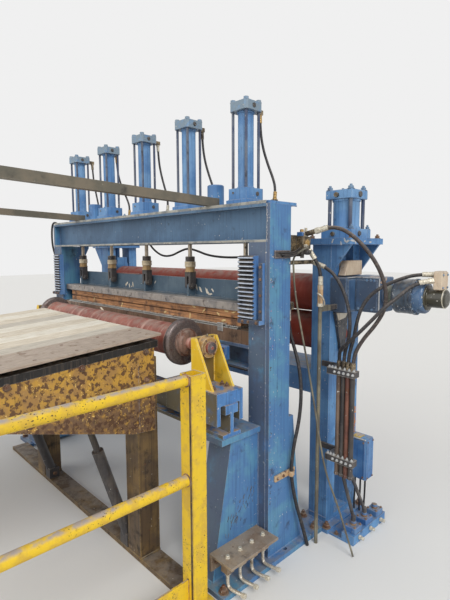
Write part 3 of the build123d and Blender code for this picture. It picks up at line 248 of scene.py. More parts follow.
@dataclass(frozen=True)
class Paint(Finish):
    """Shop paint on steel: mottled coat, runs of grime, dust on top, faces turned to -Y tinted darker as partly dirt
    and partly painted shade, worn edges, rust and small chips.
    """

    coat: Colour = (80, 125, 172)
    faded: Colour = (105, 150, 190)
    grime: Colour = (44, 44, 52)
    run: Colour = (74, 64, 56)
    dust: Colour = (150, 140, 128)
    wear: Colour = (165, 165, 165)
    rust: Colour = (96, 58, 38)
    chip: Colour = (215, 210, 200)
    patch_size: float = 0.16
    grime_size: float = 0.07
    grime_share: float = 0.35
    # Tint of faces turned to -Y: partly dirt, partly painted shade.
    front: Colour = (84, 92, 110)
    front_dirt_and_shade_share: float = 0.0
    run_share: float = 0.6
    dust_share: float = 0.5
    wear_share: float = 0.6
    rust_share: float = 0.1
    rust_size: float = 0.045
    chip_share: float = 0.4
    chip_size: float = 0.012
    edge: float = 0.004
    roughness: float = 0.5
    seed: float = 0.0

    def build(self, graph: Graph) -> bpy.types.Material:
        """Lay the coat, then what lies on it, then what is worn through it."""
        seed = self.seed
        mottle = graph.spots(self.patch_size, 5.0, seed=seed)
        colour = graph.mix(self.coat, self.faded, graph.rise(mottle, 0.42, 0.62))
        streaks = graph.rise(graph.runs(0.011, 0.35, seed + 3), 0.5, 0.68)
        colour = self.layers(graph, graph.lay(colour, self.run, streaks, self.run_share))
        # Faces turned to -Y take the front tint in patches: partly dirt, partly painted shade.
        front_dirt_and_shade_mask = graph.both(graph.facing("-Y", 0.4, 0.9), graph.patches(0.09, 5.0, seed + 5, 0.15, 0.5))
        colour = graph.lay(colour, self.front, front_dirt_and_shade_mask, self.front_dirt_and_shade_share)
        spread = 0.4 * self.grime_share
        soot = graph.patches(self.grime_size, 6.0, seed + 7, 0.72 - spread, 0.9 - spread)
        colour = graph.lay(colour, self.grime, soot, 0.85)
        settled = graph.both(graph.facing("+Z", 0.5, 0.9), graph.patches(0.05, 4.0, seed + 11, 0.35, 0.6))
        colour = graph.lay(colour, self.dust, settled, self.dust_share)
        spread = 0.4 * self.rust_share
        rusty = graph.patches(self.rust_size, 6.0, seed + 17, 0.78 - spread, 0.82 - spread)
        colour = graph.lay(colour, self.rust, rusty, 0.9)
        worn = graph.both(graph.edges(self.edge), graph.patches(0.02, 5.0, seed + 23, 0.36, 0.55))
        colour = graph.lay(colour, self.wear, worn, self.wear_share)
        spread = 0.14 * self.chip_share
        chips = graph.both(
            graph.patches(self.chip_size, 1.5, seed + 29, 0.74 - spread, 0.78 - spread),
            graph.patches(0.13, 2.0, seed + 31, 0.45, 0.6))
        colour = graph.mix(colour, self.chip, chips)
        rough = graph.math("ADD", self.roughness, graph.both(soot, 0.25))
        height = graph.math("SUBTRACT", mottle, graph.both(chips, 0.5))
        return graph.surface(colour, rough, height, 0.002)

    def layers(self, graph: Graph, colour: Socket) -> Socket:
        """Give back the coat as it is; a kind of paint with marks of its own adds them here."""
        return colour


@dataclass(frozen=True)
class RollPaint(Paint):
    """Paint of a turning roll, scraped in pale rings that climb a little along it."""

    ring_share: float = 0.6

    def layers(self, graph: Graph, colour: Socket) -> Socket:
        """Scrape broad and narrow rings into the coat."""
        for size, low, high in ((0.05, 0.5, 0.62), (0.011, 0.6, 0.68)):
            rings = graph.rise(graph.spots(size, 2.0, (1, 0.12, 0.08), self.seed + 2), low, high)
            broken = graph.both(rings, graph.patches(0.06, 4.0, self.seed + 4, 0.35, 0.6))
            colour = graph.lay(colour, self.run, broken, self.ring_share)
        return colour


@dataclass(frozen=True)
class TablePaint(Paint):
    """Ochre paint that is all but gone near the plate's lower edge, with lubricant under the deck."""

    bare: Colour = (112, 86, 64)
    limits: tuple[float, float] = (0.86, 1.02)

    def layers(self, graph: Graph, colour: Socket) -> Socket:
        """Wear the paint down to brown scale below."""
        gone = graph.math("SUBTRACT", 1.0, graph.reach("Z", *self.limits))
        return graph.mix(colour, self.bare, graph.both(gone, graph.patches(0.03, 5.0, self.seed + 2, 0.3, 0.55)))


@dataclass(frozen=True)
class CylinderPaint(Paint):
    """Blue paint with grey dust baked on the caps, above a height."""

    cap: Colour = (122, 140, 154)
    cap_from: float = 2.348

    def layers(self, graph: Graph, colour: Socket) -> Socket:
        """Grey the caps."""
        patchy = graph.patches(0.03, 4.0, self.seed + 6, 0.2, 0.55)
        high = graph.reach("Z", self.cap_from, self.cap_from + 0.001)
        return graph.mix(colour, self.cap, graph.both(high, patchy))


@dataclass(frozen=True)
class RackPaint(Paint):
    """Blue paint on the racks' outer sides only; every other face, the tooth gaps among them, is painted black as
    shade.
    """

    painted_gap_shade: Colour = (34, 36, 44)

    def layers(self, graph: Graph, colour: Socket) -> Socket:
        """Paint every face that doesn't look out along X black, as painted shade."""
        side = graph.math("ADD", graph.facing("+X", 0.3, 0.7), graph.facing("-X", 0.3, 0.7))
        return graph.mix(self.painted_gap_shade, colour, side)


@dataclass(frozen=True)
class BracketPaint(Paint):
    """Yellow paint with a dark web between the bracket's sides, partly greasy dirt and partly painted shade, and a
    bare bearing.
    """

    web_grease_and_shade: Colour = (92, 76, 54)
    bearing: Colour = (168, 138, 98)
    bearing_at: Point = (0.0, -0.322, 1.140)
    bearing_radius: float = 0.0545

    def layers(self, graph: Graph, colour: Socket) -> Socket:
        """Darken the web, partly dirt and partly painted shade, and bare the bearing."""
        web = graph.math("SUBTRACT", 1.0, graph.reach("X", 0.9825, 0.986))
        colour = graph.lay(colour, self.web_grease_and_shade, graph.both(graph.facing("+X", 0.5, 0.9), web), 0.9)
        flat = graph.node("ShaderNodeMapping", {"Vector": graph.place, "Scale": (0, 1, 1)})
        away = graph.node("ShaderNodeVectorMath", {0: flat, 1: self.bearing_at}, "Value", operation="DISTANCE")
        return graph.mix(colour, self.bearing, graph.fall(away, self.bearing_radius, self.bearing_radius + 0.001))


@dataclass(frozen=True)
class Metal(Finish):
    """Bare or oiled metal: brushed streaks, stains and bright edges."""

    bright: Colour = (176, 172, 166)
    dull: Colour = (112, 106, 100)
    stain: Colour = (60, 50, 44)
    edge_colour: Colour = (205, 202, 196)
    stretch: Point = (1, 1, 1)
    stain_share: float = 0.4
    metallic: float = 0.6
    roughness: float = 0.38
    seed: float = 0.0

    def build(self, graph: Graph) -> bpy.types.Material:
        """Brush the metal, stain it and brighten its edges."""
        brushed = graph.spots(0.006, 3.0, self.stretch, self.seed)
        colour = graph.mix(self.dull, self.bright, graph.rise(brushed, 0.35, 0.65))
        spread = 0.35 * self.stain_share
        stains = graph.patches(0.04, 6.0, self.seed + 5, 0.7 - spread, 0.86 - spread)
        colour = graph.lay(colour, self.stain, stains, 0.8)
        worn = graph.both(graph.edges(0.0025), graph.patches(0.015, 4.0, 0.0, 0.35, 0.55))
        colour = graph.lay(colour, self.edge_colour, worn, 0.7)
        rough = graph.math("ADD", self.roughness, graph.both(stains, 0.3))
        return graph.surface(colour, rough, brushed, 0.0008, self.metallic)


@dataclass(frozen=True)
class Timber(Finish):
    """Old wood: grain along one axis, oil stains and splintered edges."""

    light: Colour = (196, 170, 132)
    dark: Colour = (128, 92, 58)
    stain: Colour = (70, 56, 46)
    grain: Point = (0.04, 1, 1)
    grain_size: float = 0.006
    stain_share: float = 0.4
    line: float = 0.5
    seed: float = 0.0

    def build(self, graph: Graph) -> bpy.types.Material:
        """Draw the grain, then the stains on it."""
        fibres = graph.spots(self.grain_size, 5.0, self.grain, self.seed)
        bands = graph.spots(self.grain_size * 5, 3.0, self.grain, self.seed + 2)
        colour = graph.mix(self.dark, self.light, graph.rise(fibres, 0.3, 0.62))
        colour = graph.lay(colour, self.light, graph.rise(bands, 0.45, 0.7), self.line)
        spread = 0.35 * self.stain_share
        stains = graph.patches(0.06, 6.0, self.seed + 9, 0.7 - spread, 0.9 - spread)
        colour = graph.lay(colour, self.stain, stains, 0.75)
        return graph.surface(colour, 0.8, fibres, 0.0015)


@dataclass(frozen=True)
class Rubber(Finish):
    """Hose cover: dull rubber with dust on its top and scuffs."""

    cover: Colour = (38, 36, 38)
    scuff: Colour = (92, 84, 78)
    dust: Colour = (120, 108, 98)
    dust_share: float = 0.5
    seed: float = 0.0

    def build(self, graph: Graph) -> bpy.types.Material:
        """Scuff the cover and dust it."""
        scuffs = graph.spots(0.012, 5.0, seed=self.seed)
        colour = graph.mix(self.cover, self.scuff, graph.rise(scuffs, 0.5, 0.75))
        top = graph.both(graph.facing("+Z", 0.2, 0.9), graph.patches(0.05, 3.0, 0.0, 0.3, 0.6))
        colour = graph.lay(colour, self.dust, top, self.dust_share)
        return graph.surface(colour, 0.55, scuffs, 0.0006)


RUN_BLUE = (48, 78, 120)
# front and front_dirt_and_shade_share tint the faces turned to -Y darker: partly dirt, partly painted shade.
FRAME_BLUE = Paint(
    "frame_blue_paint", run=RUN_BLUE, coat=(76, 120, 168), faded=(90, 142, 172), grime=(52, 56, 72), run_share=0.4,
    front_dirt_and_shade_share=0.85, chip_share=0.3)
STAND_BLUE = Paint(
    "pinch_stand_blue", run=RUN_BLUE, coat=(74, 122, 174), faded=(94, 144, 192), grime=(52, 60, 78), run_share=0.4,
    front_dirt_and_shade_share=0.2, chip_share=0.3, seed=2.0)
RACK_BLUE = RackPaint(
    "rack_blue_paint", run=RUN_BLUE, coat=(84, 126, 180), faded=(104, 142, 188), grime=(52, 56, 70),
    front=(64, 74, 92), front_dirt_and_shade_share=0.95, chip_share=0.1, seed=4.0)
CROWN_BLUE = Paint(
    "crown_blue_paint", coat=(66, 94, 122), faded=(82, 114, 144), grime=(48, 56, 70), run=(56, 78, 104),
    grime_share=0.25, patch_size=0.3, wear=(176, 172, 160), chip_share=0.05, rust_share=0.0, seed=5.0)
CROWN_EDGE = Paint(
    "crown_edge_worn", coat=(168, 166, 156), faded=(124, 128, 128), grime=(84, 84, 82), run_share=0.1,
    grime_share=0.45, grime_size=0.04, patch_size=0.08, seed=6.0)
CYLINDER_BLUE = CylinderPaint(
    "cylinder_blue_paint", run=RUN_BLUE, coat=(84, 130, 180), faded=(112, 154, 196), grime_share=0.2, chip_share=0.15,
    run_share=0.35, seed=9.0)
BEAM_SLATE = Paint(
    "press_beam_slate", coat=(70, 92, 110), faded=(90, 110, 124), grime=(46, 52, 58), run=(60, 76, 92), run_share=0.3,
    chip_share=0.15, grime_share=0.3, patch_size=0.25, rust_share=0.0, seed=13.0)
BAR_WORN = Paint(
    "beam_bar_worn", coat=(160, 152, 144), faded=(128, 124, 122), grime=(74, 66, 64), run_share=0.1, grime_share=0.5,
    grime_size=0.035, patch_size=0.1, rust_share=0.2, seed=15.0)
PLATEN_DARK = Paint(
    "platen_dark", coat=(108, 84, 66), faded=(134, 108, 88), grime=(46, 40, 38), run=(74, 58, 50),
    wear=(150, 140, 126), grime_share=0.45, rust_share=0.3, chip_share=0.1, seed=16.0)
ROLL_RED = RollPaint(
    "pinch_roll_red", coat=(136, 52, 36), faded=(152, 64, 44), grime=(70, 34, 30), run=(166, 84, 64), run_share=0.0,
    grime_share=0.2, roughness=0.6, chip_share=0.0, rust_share=0.0, ring_share=0.25, seed=17.0)
ROLL_BRICK = RollPaint(
    "pass_roll_rust", coat=(134, 70, 56), faded=(158, 96, 80), grime=(84, 48, 42), run=(196, 152, 138), run_share=0.0,
    grime_share=0.3, chip_share=0.0, ring_share=0.8, seed=19.0)
SAFETY_YELLOW = Paint(
    "guard_rail_yellow", coat=(232, 194, 38), faded=(214, 176, 58), grime=(140, 110, 44), run=(206, 168, 30),
    dust=(168, 156, 148), dust_share=1.0, run_share=0.2, grime_share=0.3, grime_size=0.022, patch_size=0.05,
    wear=(120, 98, 66), wear_share=0.8, rust_share=0.2, rust_size=0.02, chip=(64, 50, 36), chip_share=0.8,
    chip_size=0.008, seed=23.0)
BRACKET_YELLOW = BracketPaint(
    "roll_bracket_yellow", coat=(232, 190, 44), faded=(238, 206, 84), grime=(128, 100, 48), run=(206, 168, 40),
    run_share=0.2, wear=(226, 208, 168), wear_share=0.95, edge=0.006, dust=(170, 150, 122), chip_share=0.2, seed=24.0)
TABLE_YELLOW = TablePaint(
    "table_side_ochre", coat=(194, 150, 62), faded=(164, 126, 72), grime=(70, 56, 44), run=(150, 110, 56),
    run_share=0.2, grime_size=0.05, grime_share=0.42, rust=(84, 56, 40), rust_size=0.022, rust_share=0.68,
    chip=(232, 196, 116), chip_share=0.7, chip_size=0.01, patch_size=0.08, seed=27.0)
POST_BROWN = Paint(
    "table_post_brown", coat=(92, 74, 54), faded=(122, 98, 62), grime=(44, 38, 34), run=(60, 50, 42),
    wear=(166, 140, 76), grime_share=0.5, rust_share=0.3, chip_share=0.1, edge=0.007, seed=31.0)
BAR_OLIVE = Paint(
    "overhead_bar_olive", coat=(96, 92, 80), faded=(118, 108, 92), grime=(60, 56, 52), run_share=0.0,
    wear=(140, 132, 118), rust_share=0.2, chip_share=0.0, seed=33.0)
MANIFOLD_TAN = Paint(
    "leg_manifold_tan", coat=(156, 140, 120), faded=(132, 112, 92), grime=(74, 62, 54), run_share=0.2,
    grime_share=0.45, rust_share=0.35, rust_size=0.03, seed=35.0)
SADDLE_BLUE = Paint(
    "saddle_blue_paint", run=RUN_BLUE, coat=(74, 124, 182), faded=(90, 138, 190), grime=(60, 58, 54), grime_share=0.3,
    front=(108, 100, 80), front_dirt_and_shade_share=1.0, dust=(172, 148, 120), dust_share=0.95, wear=(190, 196, 200),
    wear_share=0.8, seed=37.0)
DARK_STEEL = Paint(
    "dark_oiled_steel", coat=(62, 60, 62), faded=(86, 80, 76), grime=(34, 32, 34), run=(50, 46, 46),
    wear=(140, 132, 122), rust_share=0.3, chip_share=0.1, seed=41.0)
ROD_STEEL = Metal("rod_steel", bright=(196, 184, 166), dull=(150, 136, 118), stretch=(1, 1, 0.1))
FLANGE_STEEL = Metal("flange_steel", bright=(128, 116, 112), dull=(98, 88, 86), stain=(92, 64, 54), stain_share=0.5)
DECK_STEEL = Metal(
    "deck_steel", bright=(182, 166, 150), dull=(156, 140, 126), stain=(122, 104, 86), edge_colour=(200, 190, 174),
    stretch=(1, 0.1, 1), metallic=0.0, roughness=0.6)
FITTING_STEEL = Metal("fitting_steel", bright=(164, 146, 116), dull=(96, 86, 74), stain=(50, 45, 42), stain_share=0.8)
PAD_WOOD = Timber("pad_wood", light=(186, 134, 90), dark=(110, 76, 54), stain=(72, 56, 50), stain_share=0.66)
DECK_WOOD = Timber(
    "deck_wood", light=(226, 216, 198), dark=(186, 170, 146), stain=(150, 132, 108), stain_share=0.2,
    grain=(1, 0.04, 1))
HOSE_BLACK = Rubber("hose_rubber")
ARCH_RUBBER = Rubber("arch_hose_rubber", cover=(58, 50, 48), scuff=(110, 98, 88), dust=(150, 138, 126))

BOLT_BLUE = Paint(
    "bolt_head_blue", run=RUN_BLUE, coat=(92, 124, 156), faded=(120, 146, 170), wear=(176, 176, 172), rust_share=0.35,
    edge=0.002, seed=43.0)
RUSTY_BOLTS = Paint(
    "rusty_bolts", coat=(104, 78, 60), faded=(136, 104, 80), grime=(48, 38, 34), wear=(170, 150, 130), rust_share=0.6,
    edge=0.002, seed=45.0)
JUNCTION_BLUE = Paint("junction_box_blue", run=RUN_BLUE, coat=(62, 108, 164), faded=(88, 132, 180), seed=47.0)
VALVE_BLUE = Paint(
    "floor_valve_blue", run=RUN_BLUE, coat=(58, 104, 160), faded=(96, 132, 170), rust_share=0.3, seed=49.0)
CASE_SLATE = Paint(
    "gear_case_slate", coat=(58, 86, 120), faded=(74, 104, 138), grime=(42, 50, 62), run=(48, 68, 96),
    wear=(170, 176, 180), chip_share=0.05, rust_share=0.0, grime_share=0.25, front=(66, 76, 92), front_dirt_and_shade_share=0.7,
    seed=53.0)
MOTOR_BLUE = Paint(
    "motor_rear_blue", run=RUN_BLUE, coat=(54, 84, 120), faded=(78, 106, 138), grime=(38, 42, 50),
    wear=(200, 204, 208), chip_share=0.6, roughness=0.3, seed=54.0)
GUARD_DARK = Paint(
    "tapered_guard_dark", coat=(44, 48, 56), faded=(70, 72, 78), grime=(26, 26, 28), chip=(150, 140, 126),
    chip_share=0.7, seed=55.0)
TIE_DARK = Paint(
    "tie_rod_dark", coat=(58, 70, 98), faded=(98, 106, 120), grime=(34, 34, 42), wear=(150, 150, 150), seed=57.0)
PALE_SCRAP = Paint(
    "pale_paint_scrap", coat=(228, 220, 204), faded=(214, 198, 172), grime=(120, 104, 88), run=(190, 172, 150),
    seed=59.0)
RED_SCRAP = Paint("red_brown_strip", coat=(124, 62, 46), faded=(142, 84, 62), grime=(70, 40, 34), seed=61.0)
WELD_RUST = Paint(
    "rusty_weld", coat=(150, 96, 52), faded=(178, 132, 70), grime=(80, 52, 36), rust_share=0.5, seed=63.0)
CHIP_BLACK = Paint("chip_black", coat=(30, 34, 42), faded=(48, 50, 56), chip_share=0.0, seed=111.0)
CHIP_PALE = Paint("chip_pale", coat=(206, 204, 198), faded=(186, 180, 170), chip_share=0.0, seed=112.0)
CHIP_PINK = Paint("chip_pink", coat=(190, 132, 160), faded=(164, 118, 150), chip_share=0.0, seed=113.0)
SEAM_DARK = Paint(
    "post_seam_dark", coat=(84, 64, 38), faded=(120, 96, 50), grime=(40, 33, 28), grime_share=0.6,
    chip=(190, 160, 60), seed=64.0)
RAIL_BARE = Paint("bare_rail_edge", coat=(196, 176, 150), faded=(214, 196, 160), grime=(120, 96, 70), seed=65.0)
YOKE_TAN = Paint(
    "yoke_tan", coat=(186, 162, 136), faded=(204, 186, 162), grime=(116, 98, 82), run=(150, 124, 100), run_share=0.15,
    rust_share=0.2, seed=67.0)
TAN_WEAR = Paint("worn_through_tan", coat=(190, 158, 134), faded=(206, 180, 160), grime=(120, 92, 76), seed=69.0)
CLIP_TAN = Paint(
    "clip_tan", coat=(186, 152, 112), faded=(206, 178, 140), grime=(110, 84, 60), rust_share=0.5, seed=71.0)
HUB_RUST = Paint("hub_rust", coat=(110, 84, 72), faded=(136, 106, 92), grime=(62, 46, 42), rust_share=0.6, seed=73.0)
BEARING_TAN = Paint(
    "bearing_tan", coat=(176, 138, 84), faded=(196, 166, 110), grime=(96, 72, 50), wear=(206, 190, 160), seed=75.0)
COUPLER_DARK = Paint("coupler_neck_dark", coat=(54, 50, 48), faded=(82, 72, 64), grime=(30, 28, 28), seed=77.0)
COUPLER_CREAM = Paint(
    "coupler_band_cream", coat=(206, 190, 158), faded=(222, 210, 184), grime=(120, 100, 78), run=(170, 146, 112),
    seed=79.0)
COUPLER_BRASS = Paint("coupler_brass", coat=(158, 124, 76), faded=(182, 150, 100), grime=(84, 64, 44), seed=81.0)
MOTOR_STEEL = Paint(
    "motor_barrel_dark", coat=(52, 66, 84), faded=(84, 96, 108), grime=(32, 34, 40), wear=(196, 200, 204),
    chip=(214, 210, 206), chip_share=0.7, roughness=0.32, seed=83.0)
# The motor neck's pale grey-green is a painted sheen.
MOTOR_NECK_PAINTED_SHEEN = Paint(
    "motor_neck_painted_sheen", coat=(104, 112, 100), faded=(140, 144, 130), grime=(56, 58, 52), roughness=0.35, seed=85.0)
MOTOR_GREASE = Paint(
    "motor_end_grease", coat=(52, 50, 40), faded=(74, 70, 54), grime=(28, 27, 24), run=(40, 38, 32),
    wear=(150, 146, 128), roughness=0.3, seed=87.0)
PIPE_OLIVE = Paint(
    "drop_pipe_olive", coat=(96, 92, 80), faded=(134, 128, 108), grime=(58, 54, 50), edge=0.001, seed=88.0)
PIPE_BROWN = Paint("bank_pipe_brown", coat=(92, 74, 64), faded=(120, 100, 86), grime=(50, 42, 38), seed=89.0)
PIPE_BLACK = Paint("bank_pipe_black", coat=(46, 44, 46), faded=(70, 66, 64), grime=(28, 28, 30), seed=91.0)
PIPE_RUST = Paint(
    "bank_pipe_rust", coat=(96, 58, 48), faded=(124, 80, 64), grime=(66, 44, 36), rust_share=0.5, seed=93.0)
COPPER_PATCH = Paint("copper_patch", coat=(182, 110, 66), faded=(200, 140, 90), seed=95.0)
CLAMP_STEEL = Paint(
    "clamp_bar_steel", coat=(96, 96, 98), faded=(128, 124, 118), grime=(48, 46, 46), rust_share=0.4,
    wear=(170, 164, 154), seed=97.0)
# Black that stands in for shade: painted shade in recesses and painted shadow under the deck.
SHADE_BLACK = Paint("painted_shade_black", coat=(24, 23, 24), faded=(34, 32, 32), chip_share=0.0, seed=99.0)
CAP_BROWN = Paint("valve_cap_brown", coat=(120, 92, 66), faded=(148, 118, 84), grime=(62, 48, 38), seed=101.0)
# Pale tooth lands: partly worn steel, partly painted highlight.
TOOTH_WEAR_AND_HIGHLIGHT = Paint(
    "rack_tooth_worn_and_painted_highlight", coat=(196, 206, 220), faded=(168, 182, 204), grime=(96, 100, 120), run=(140, 150, 176),
    seed=103.0)
BARE_STEEL = Metal(
    "bare_worn_edge", bright=(206, 206, 204), dull=(168, 170, 172), stain=(104, 104, 108), metallic=0.3)
STRIP_STEEL = Metal("pad_strip_steel", bright=(208, 208, 204), dull=(172, 172, 168), stretch=(0.1, 1, 1))
FERRULE_PALE = Metal("ferrule_pale", bright=(216, 210, 194), dull=(180, 170, 148), stain=(96, 84, 68), metallic=0.3)
FERRULE_BRASS = Metal("ferrule_brass", bright=(200, 166, 104), dull=(160, 124, 70), stain=(84, 62, 40))
TUBE_BRIGHT = Metal("leg_tube_bright", bright=(222, 216, 204), dull=(178, 168, 150), stain=(110, 88, 66))
PAD_SPLINTERS = Timber("pad_splinters", light=(222, 196, 142), dark=(176, 138, 84))
DECK_PALE = Timber(
    "deck_pale", light=(236, 230, 216), dark=(206, 194, 172), stain=(160, 144, 120), stain_share=0.15,
    grain=(1, 0.04, 1), seed=3.0)
DECK_GREY = Timber(
    "deck_grey", light=(206, 198, 184), dark=(170, 160, 144), stain=(128, 116, 100), stain_share=0.3,
    grain=(1, 0.04, 1), seed=6.0)
CABLE_BLACK = Rubber("cable_black", cover=(28, 27, 29), scuff=(66, 62, 60))

COATS: dict[Finish, tuple[str, ...]] = {
    FRAME_BLUE: ("near_column", "far_column", "base_plates", "legs", "bed_beam"),
    STAND_BLUE: ("near_housing", "far_housing", "stand_beam", "junction_box", "floor_manifold", "balance_cans",
    "lower_chocks", "upper_chocks", "crown_plate"), CROWN_BLUE: ("crown_channels",),
    CYLINDER_BLUE: ("press_cylinders",), BEAM_SLATE: ("press_beam",), RACK_BLUE: ("racks",),
    PLATEN_DARK: ("lower_platen",), ROLL_RED: ("upper_pinch_roll", "lower_pinch_roll"), ROLL_BRICK: ("pass_roll",),
    SAFETY_YELLOW: ("guard_rail",), BRACKET_YELLOW: ("roll_brackets",), TABLE_YELLOW: ("table_frame",),
    POST_BROWN: ("table_posts",), BAR_OLIVE: ("overhead_bars",), MANIFOLD_TAN: ("leg_manifold",),
    SADDLE_BLUE: ("saddles", "cross_rail"), DARK_STEEL: ("pipe_bank", "table_struts", "rod_clevises"),
    PIPE_OLIVE: ("drop_pipes",), ROD_STEEL: ("press_rods", "lower_pad_strip"), DECK_STEEL: ("table_side_deck",),
    FITTING_STEEL: ("hose_fittings", "cylinder_fittings"),}


def linked(name: str, data: bpy.types.ID) -> bpy.types.Object:
    """Make an object of some data and put it in the scene."""
    made = bpy.data.objects.new(name, data)
    bpy.context.scene.collection.objects.link(made)
    return made


def nurbs_line(name: str, route: Sequence[Point], diameter: float, rounds: int, steps: int) -> bpy.types.Curve:
    """Draw a round tube on one smooth line.

    Args:
        name: Name of the curve.
        route: Control points of its NURBS spline.
        diameter: Diameter of the tube.
        rounds: Bevel resolution.
        steps: Points of the drawn line for each stretch.

    Returns:
        The curve.
    """
    curve = bpy.data.curves.new(name, "CURVE")
    curve.dimensions = "3D"
    curve.bevel_depth = diameter / 2
    curve.bevel_resolution = rounds
    curve.resolution_u = steps
    curve.use_fill_caps = True
    line = curve.splines.new("NURBS")
    line.points.add(len(route) - 1)
    for knot, place in zip(line.points, route):
        knot.co = (*place, 1.0)
    line.order_u = 3
    line.use_endpoint_u = True
    line.use_smooth = True
    return curve


@dataclass(frozen=True)
class Hose:
    """Free hydraulic hose between two fittings, along points given on its real route."""

    node: str
    diameter: float
    length: float
    route: tuple[Point, ...]
    finish: Rubber = HOSE_BLACK
    stiffness: str = "stiff"
    lay: str = "hanging"

    def build(self) -> bpy.types.Object:
        """Lay the hose as a smooth NURBS curve on its route.

        Returns:
            The hose, laid in place of its CAD tube.
        """
        curve = nurbs_line(self.node + "_line", self.route, self.diameter, 5, 10)
        hose = linked(self.node + "_laid", curve)
        curve.materials.append(self.finish.material())
        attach(hose, Body.FRAME.value)
        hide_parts(self.node)
        return hose


HOSES = (
    Hose("arch_hose", 0.020, 0.964, ((1.324, 0.170, 1.726), (1.376, 0.184, 1.740), (1.441, 0.203, 1.726),
    (1.507, 0.226, 1.674), (1.569, 0.252, 1.596), (1.613, 0.276, 1.508), (1.631, 0.296, 1.415), (1.622, 0.304, 1.325),
    (1.576, 0.296, 1.242), (1.522, 0.270, 1.164), (1.489, 0.245, 1.078), (1.489, 0.245, 1.000)), ARCH_RUBBER),
    Hose("port_hose", 0.018, 0.635, ((1.284, 0.215, 1.549), (1.342, 0.222, 1.528), (1.396, 0.230, 1.474),
    (1.436, 0.234, 1.402), (1.465, 0.232, 1.322), (1.479, 0.226, 1.240), (1.468, 0.228, 1.158), (1.435, 0.245, 1.077),
    (1.435, 0.245, 1.000))), Hose("motor_upper_hose", 0.018, 0.726, ((1.772, 0.478, 1.500), (1.712, 0.448, 1.500),
    (1.645, 0.405, 1.476), (1.578, 0.358, 1.438), (1.526, 0.316, 1.386), (1.498, 0.288, 1.318), (1.486, 0.270, 1.240),
    (1.480, 0.259, 1.160), (1.462, 0.245, 1.080), (1.462, 0.245, 1.000))), Hose("motor_lower_hose", 0.018, 0.712,
    ((1.770, 0.442, 1.468), (1.724, 0.405, 1.458), (1.684, 0.330, 1.401), (1.640, 0.258, 1.342),
    (1.594, 0.212, 1.273), (1.538, 0.190, 1.205), (1.464, 0.196, 1.136), (1.424, 0.221, 1.102), (1.408, 0.245, 1.052),
    (1.408, 0.245, 1.000))), Hose("column_hose", 0.019, 1.322, ((1.176, 0.105, 1.290), (1.180, 0.106, 1.205),
    (1.214, 0.108, 1.110), (1.250, 0.107, 1.015), (1.273, 0.102, 0.879), (1.278, 0.080, 0.727), (1.270, 0.040, 0.585),
    (1.263, 0.030, 0.440), (1.270, 0.064, 0.270), (1.286, 0.110, 0.120), (1.300, 0.138, 0.003))),
    Hose("sleeve_hose", 0.018, 0.184, ((1.266, 0.172, 1.612), (1.300, 0.182, 1.562), (1.318, 0.192, 1.503),
    (1.318, 0.192, 1.442))), Hose("rear_hose", 0.014, 1.380, ((1.052, 0.105, 1.606), (0.985, 0.122, 1.600),
    (0.880, 0.138, 1.588), (0.740, 0.140, 1.580), (0.600, 0.141, 1.582), (0.480, 0.140, 1.595), (0.380, 0.140, 1.623),
    (0.285, 0.140, 1.640), (0.195, 0.140, 1.618), (0.105, 0.140, 1.588), (0.000, 0.141, 1.584),
    (-0.090, 0.140, 1.618), (-0.165, 0.141, 1.668), (-0.205, 0.145, 1.730), (-0.212, 0.150, 1.785))),)


@dataclass(frozen=True)
class CylinderHoses:
    """Five like hoses from the press cylinders' caps down to the crown."""

    pitch: float = 0.480
    diameter: float = 0.014
    starts: tuple[float, ...] = (0.035, -0.050, 0.025, 0.015, 0.015)
    ends: tuple[float, ...] = (0.112, 0.110, 0.120, 0.120, 0.120)
    lengths: tuple[float, ...] = (0.444, 0.474, 0.449, 0.452, 0.452)
    steps: tuple[Point, ...] = (
        (0, 0.096, 2.338), (0, 0.100, 2.262), (0.15, 0.104, 2.172), (0.45, 0.108, 2.085), (0.8, 0.108, 2.010),
        (1, 0.104, 1.955), (1, 0.100, 1.905))

    def hoses(self) -> list[Hose]:
        """Swing the same steps between each hose's own start and end.

        Returns:
            The five hoses.
        """
        made = []
        for number, (start, end, length) in enumerate(zip(self.starts, self.ends, self.lengths)):
            axis_x = self.pitch * (number - 2)
            route = tuple((axis_x + start + (end - start) * share, y, z) for share, y, z in self.steps)
            made.append(Hose(f"cylinder_{number + 1}_hose", self.diameter, length, route))
        return made


@dataclass(frozen=True)
class PhotoView:
    """Camera that stands where the photograph was taken from."""

    place: Point = (2.676, -1.796, 1.620)
    azimuth: float = 46.34
    pitch: float = 6.21
    roll: float = -0.24
    focal_px: float = 450.6
    height_px: float = 600.0
    sensor: float = 36.0

    def build(self) -> bpy.types.Object:
        """Place the camera and make it the scene's."""
        lens = bpy.data.cameras.new("photo_view")
        lens.sensor_fit = "VERTICAL"
        lens.sensor_height = self.sensor
        lens.lens = self.focal_px / self.height_px * self.sensor
        lens.clip_end = 100.0
        camera = linked("photo_view", lens)
        turn = (
            Matrix.Rotation(math.radians(self.azimuth), 4, "Z") @ Matrix.Rotation(math.radians(90 - self.pitch), 4,
            "X") @ Matrix.Rotation(math.radians(self.roll), 4, "Z"))
        camera.matrix_world = Matrix.Translation(self.place) @ turn
        bpy.context.scene.camera = camera
        return camera


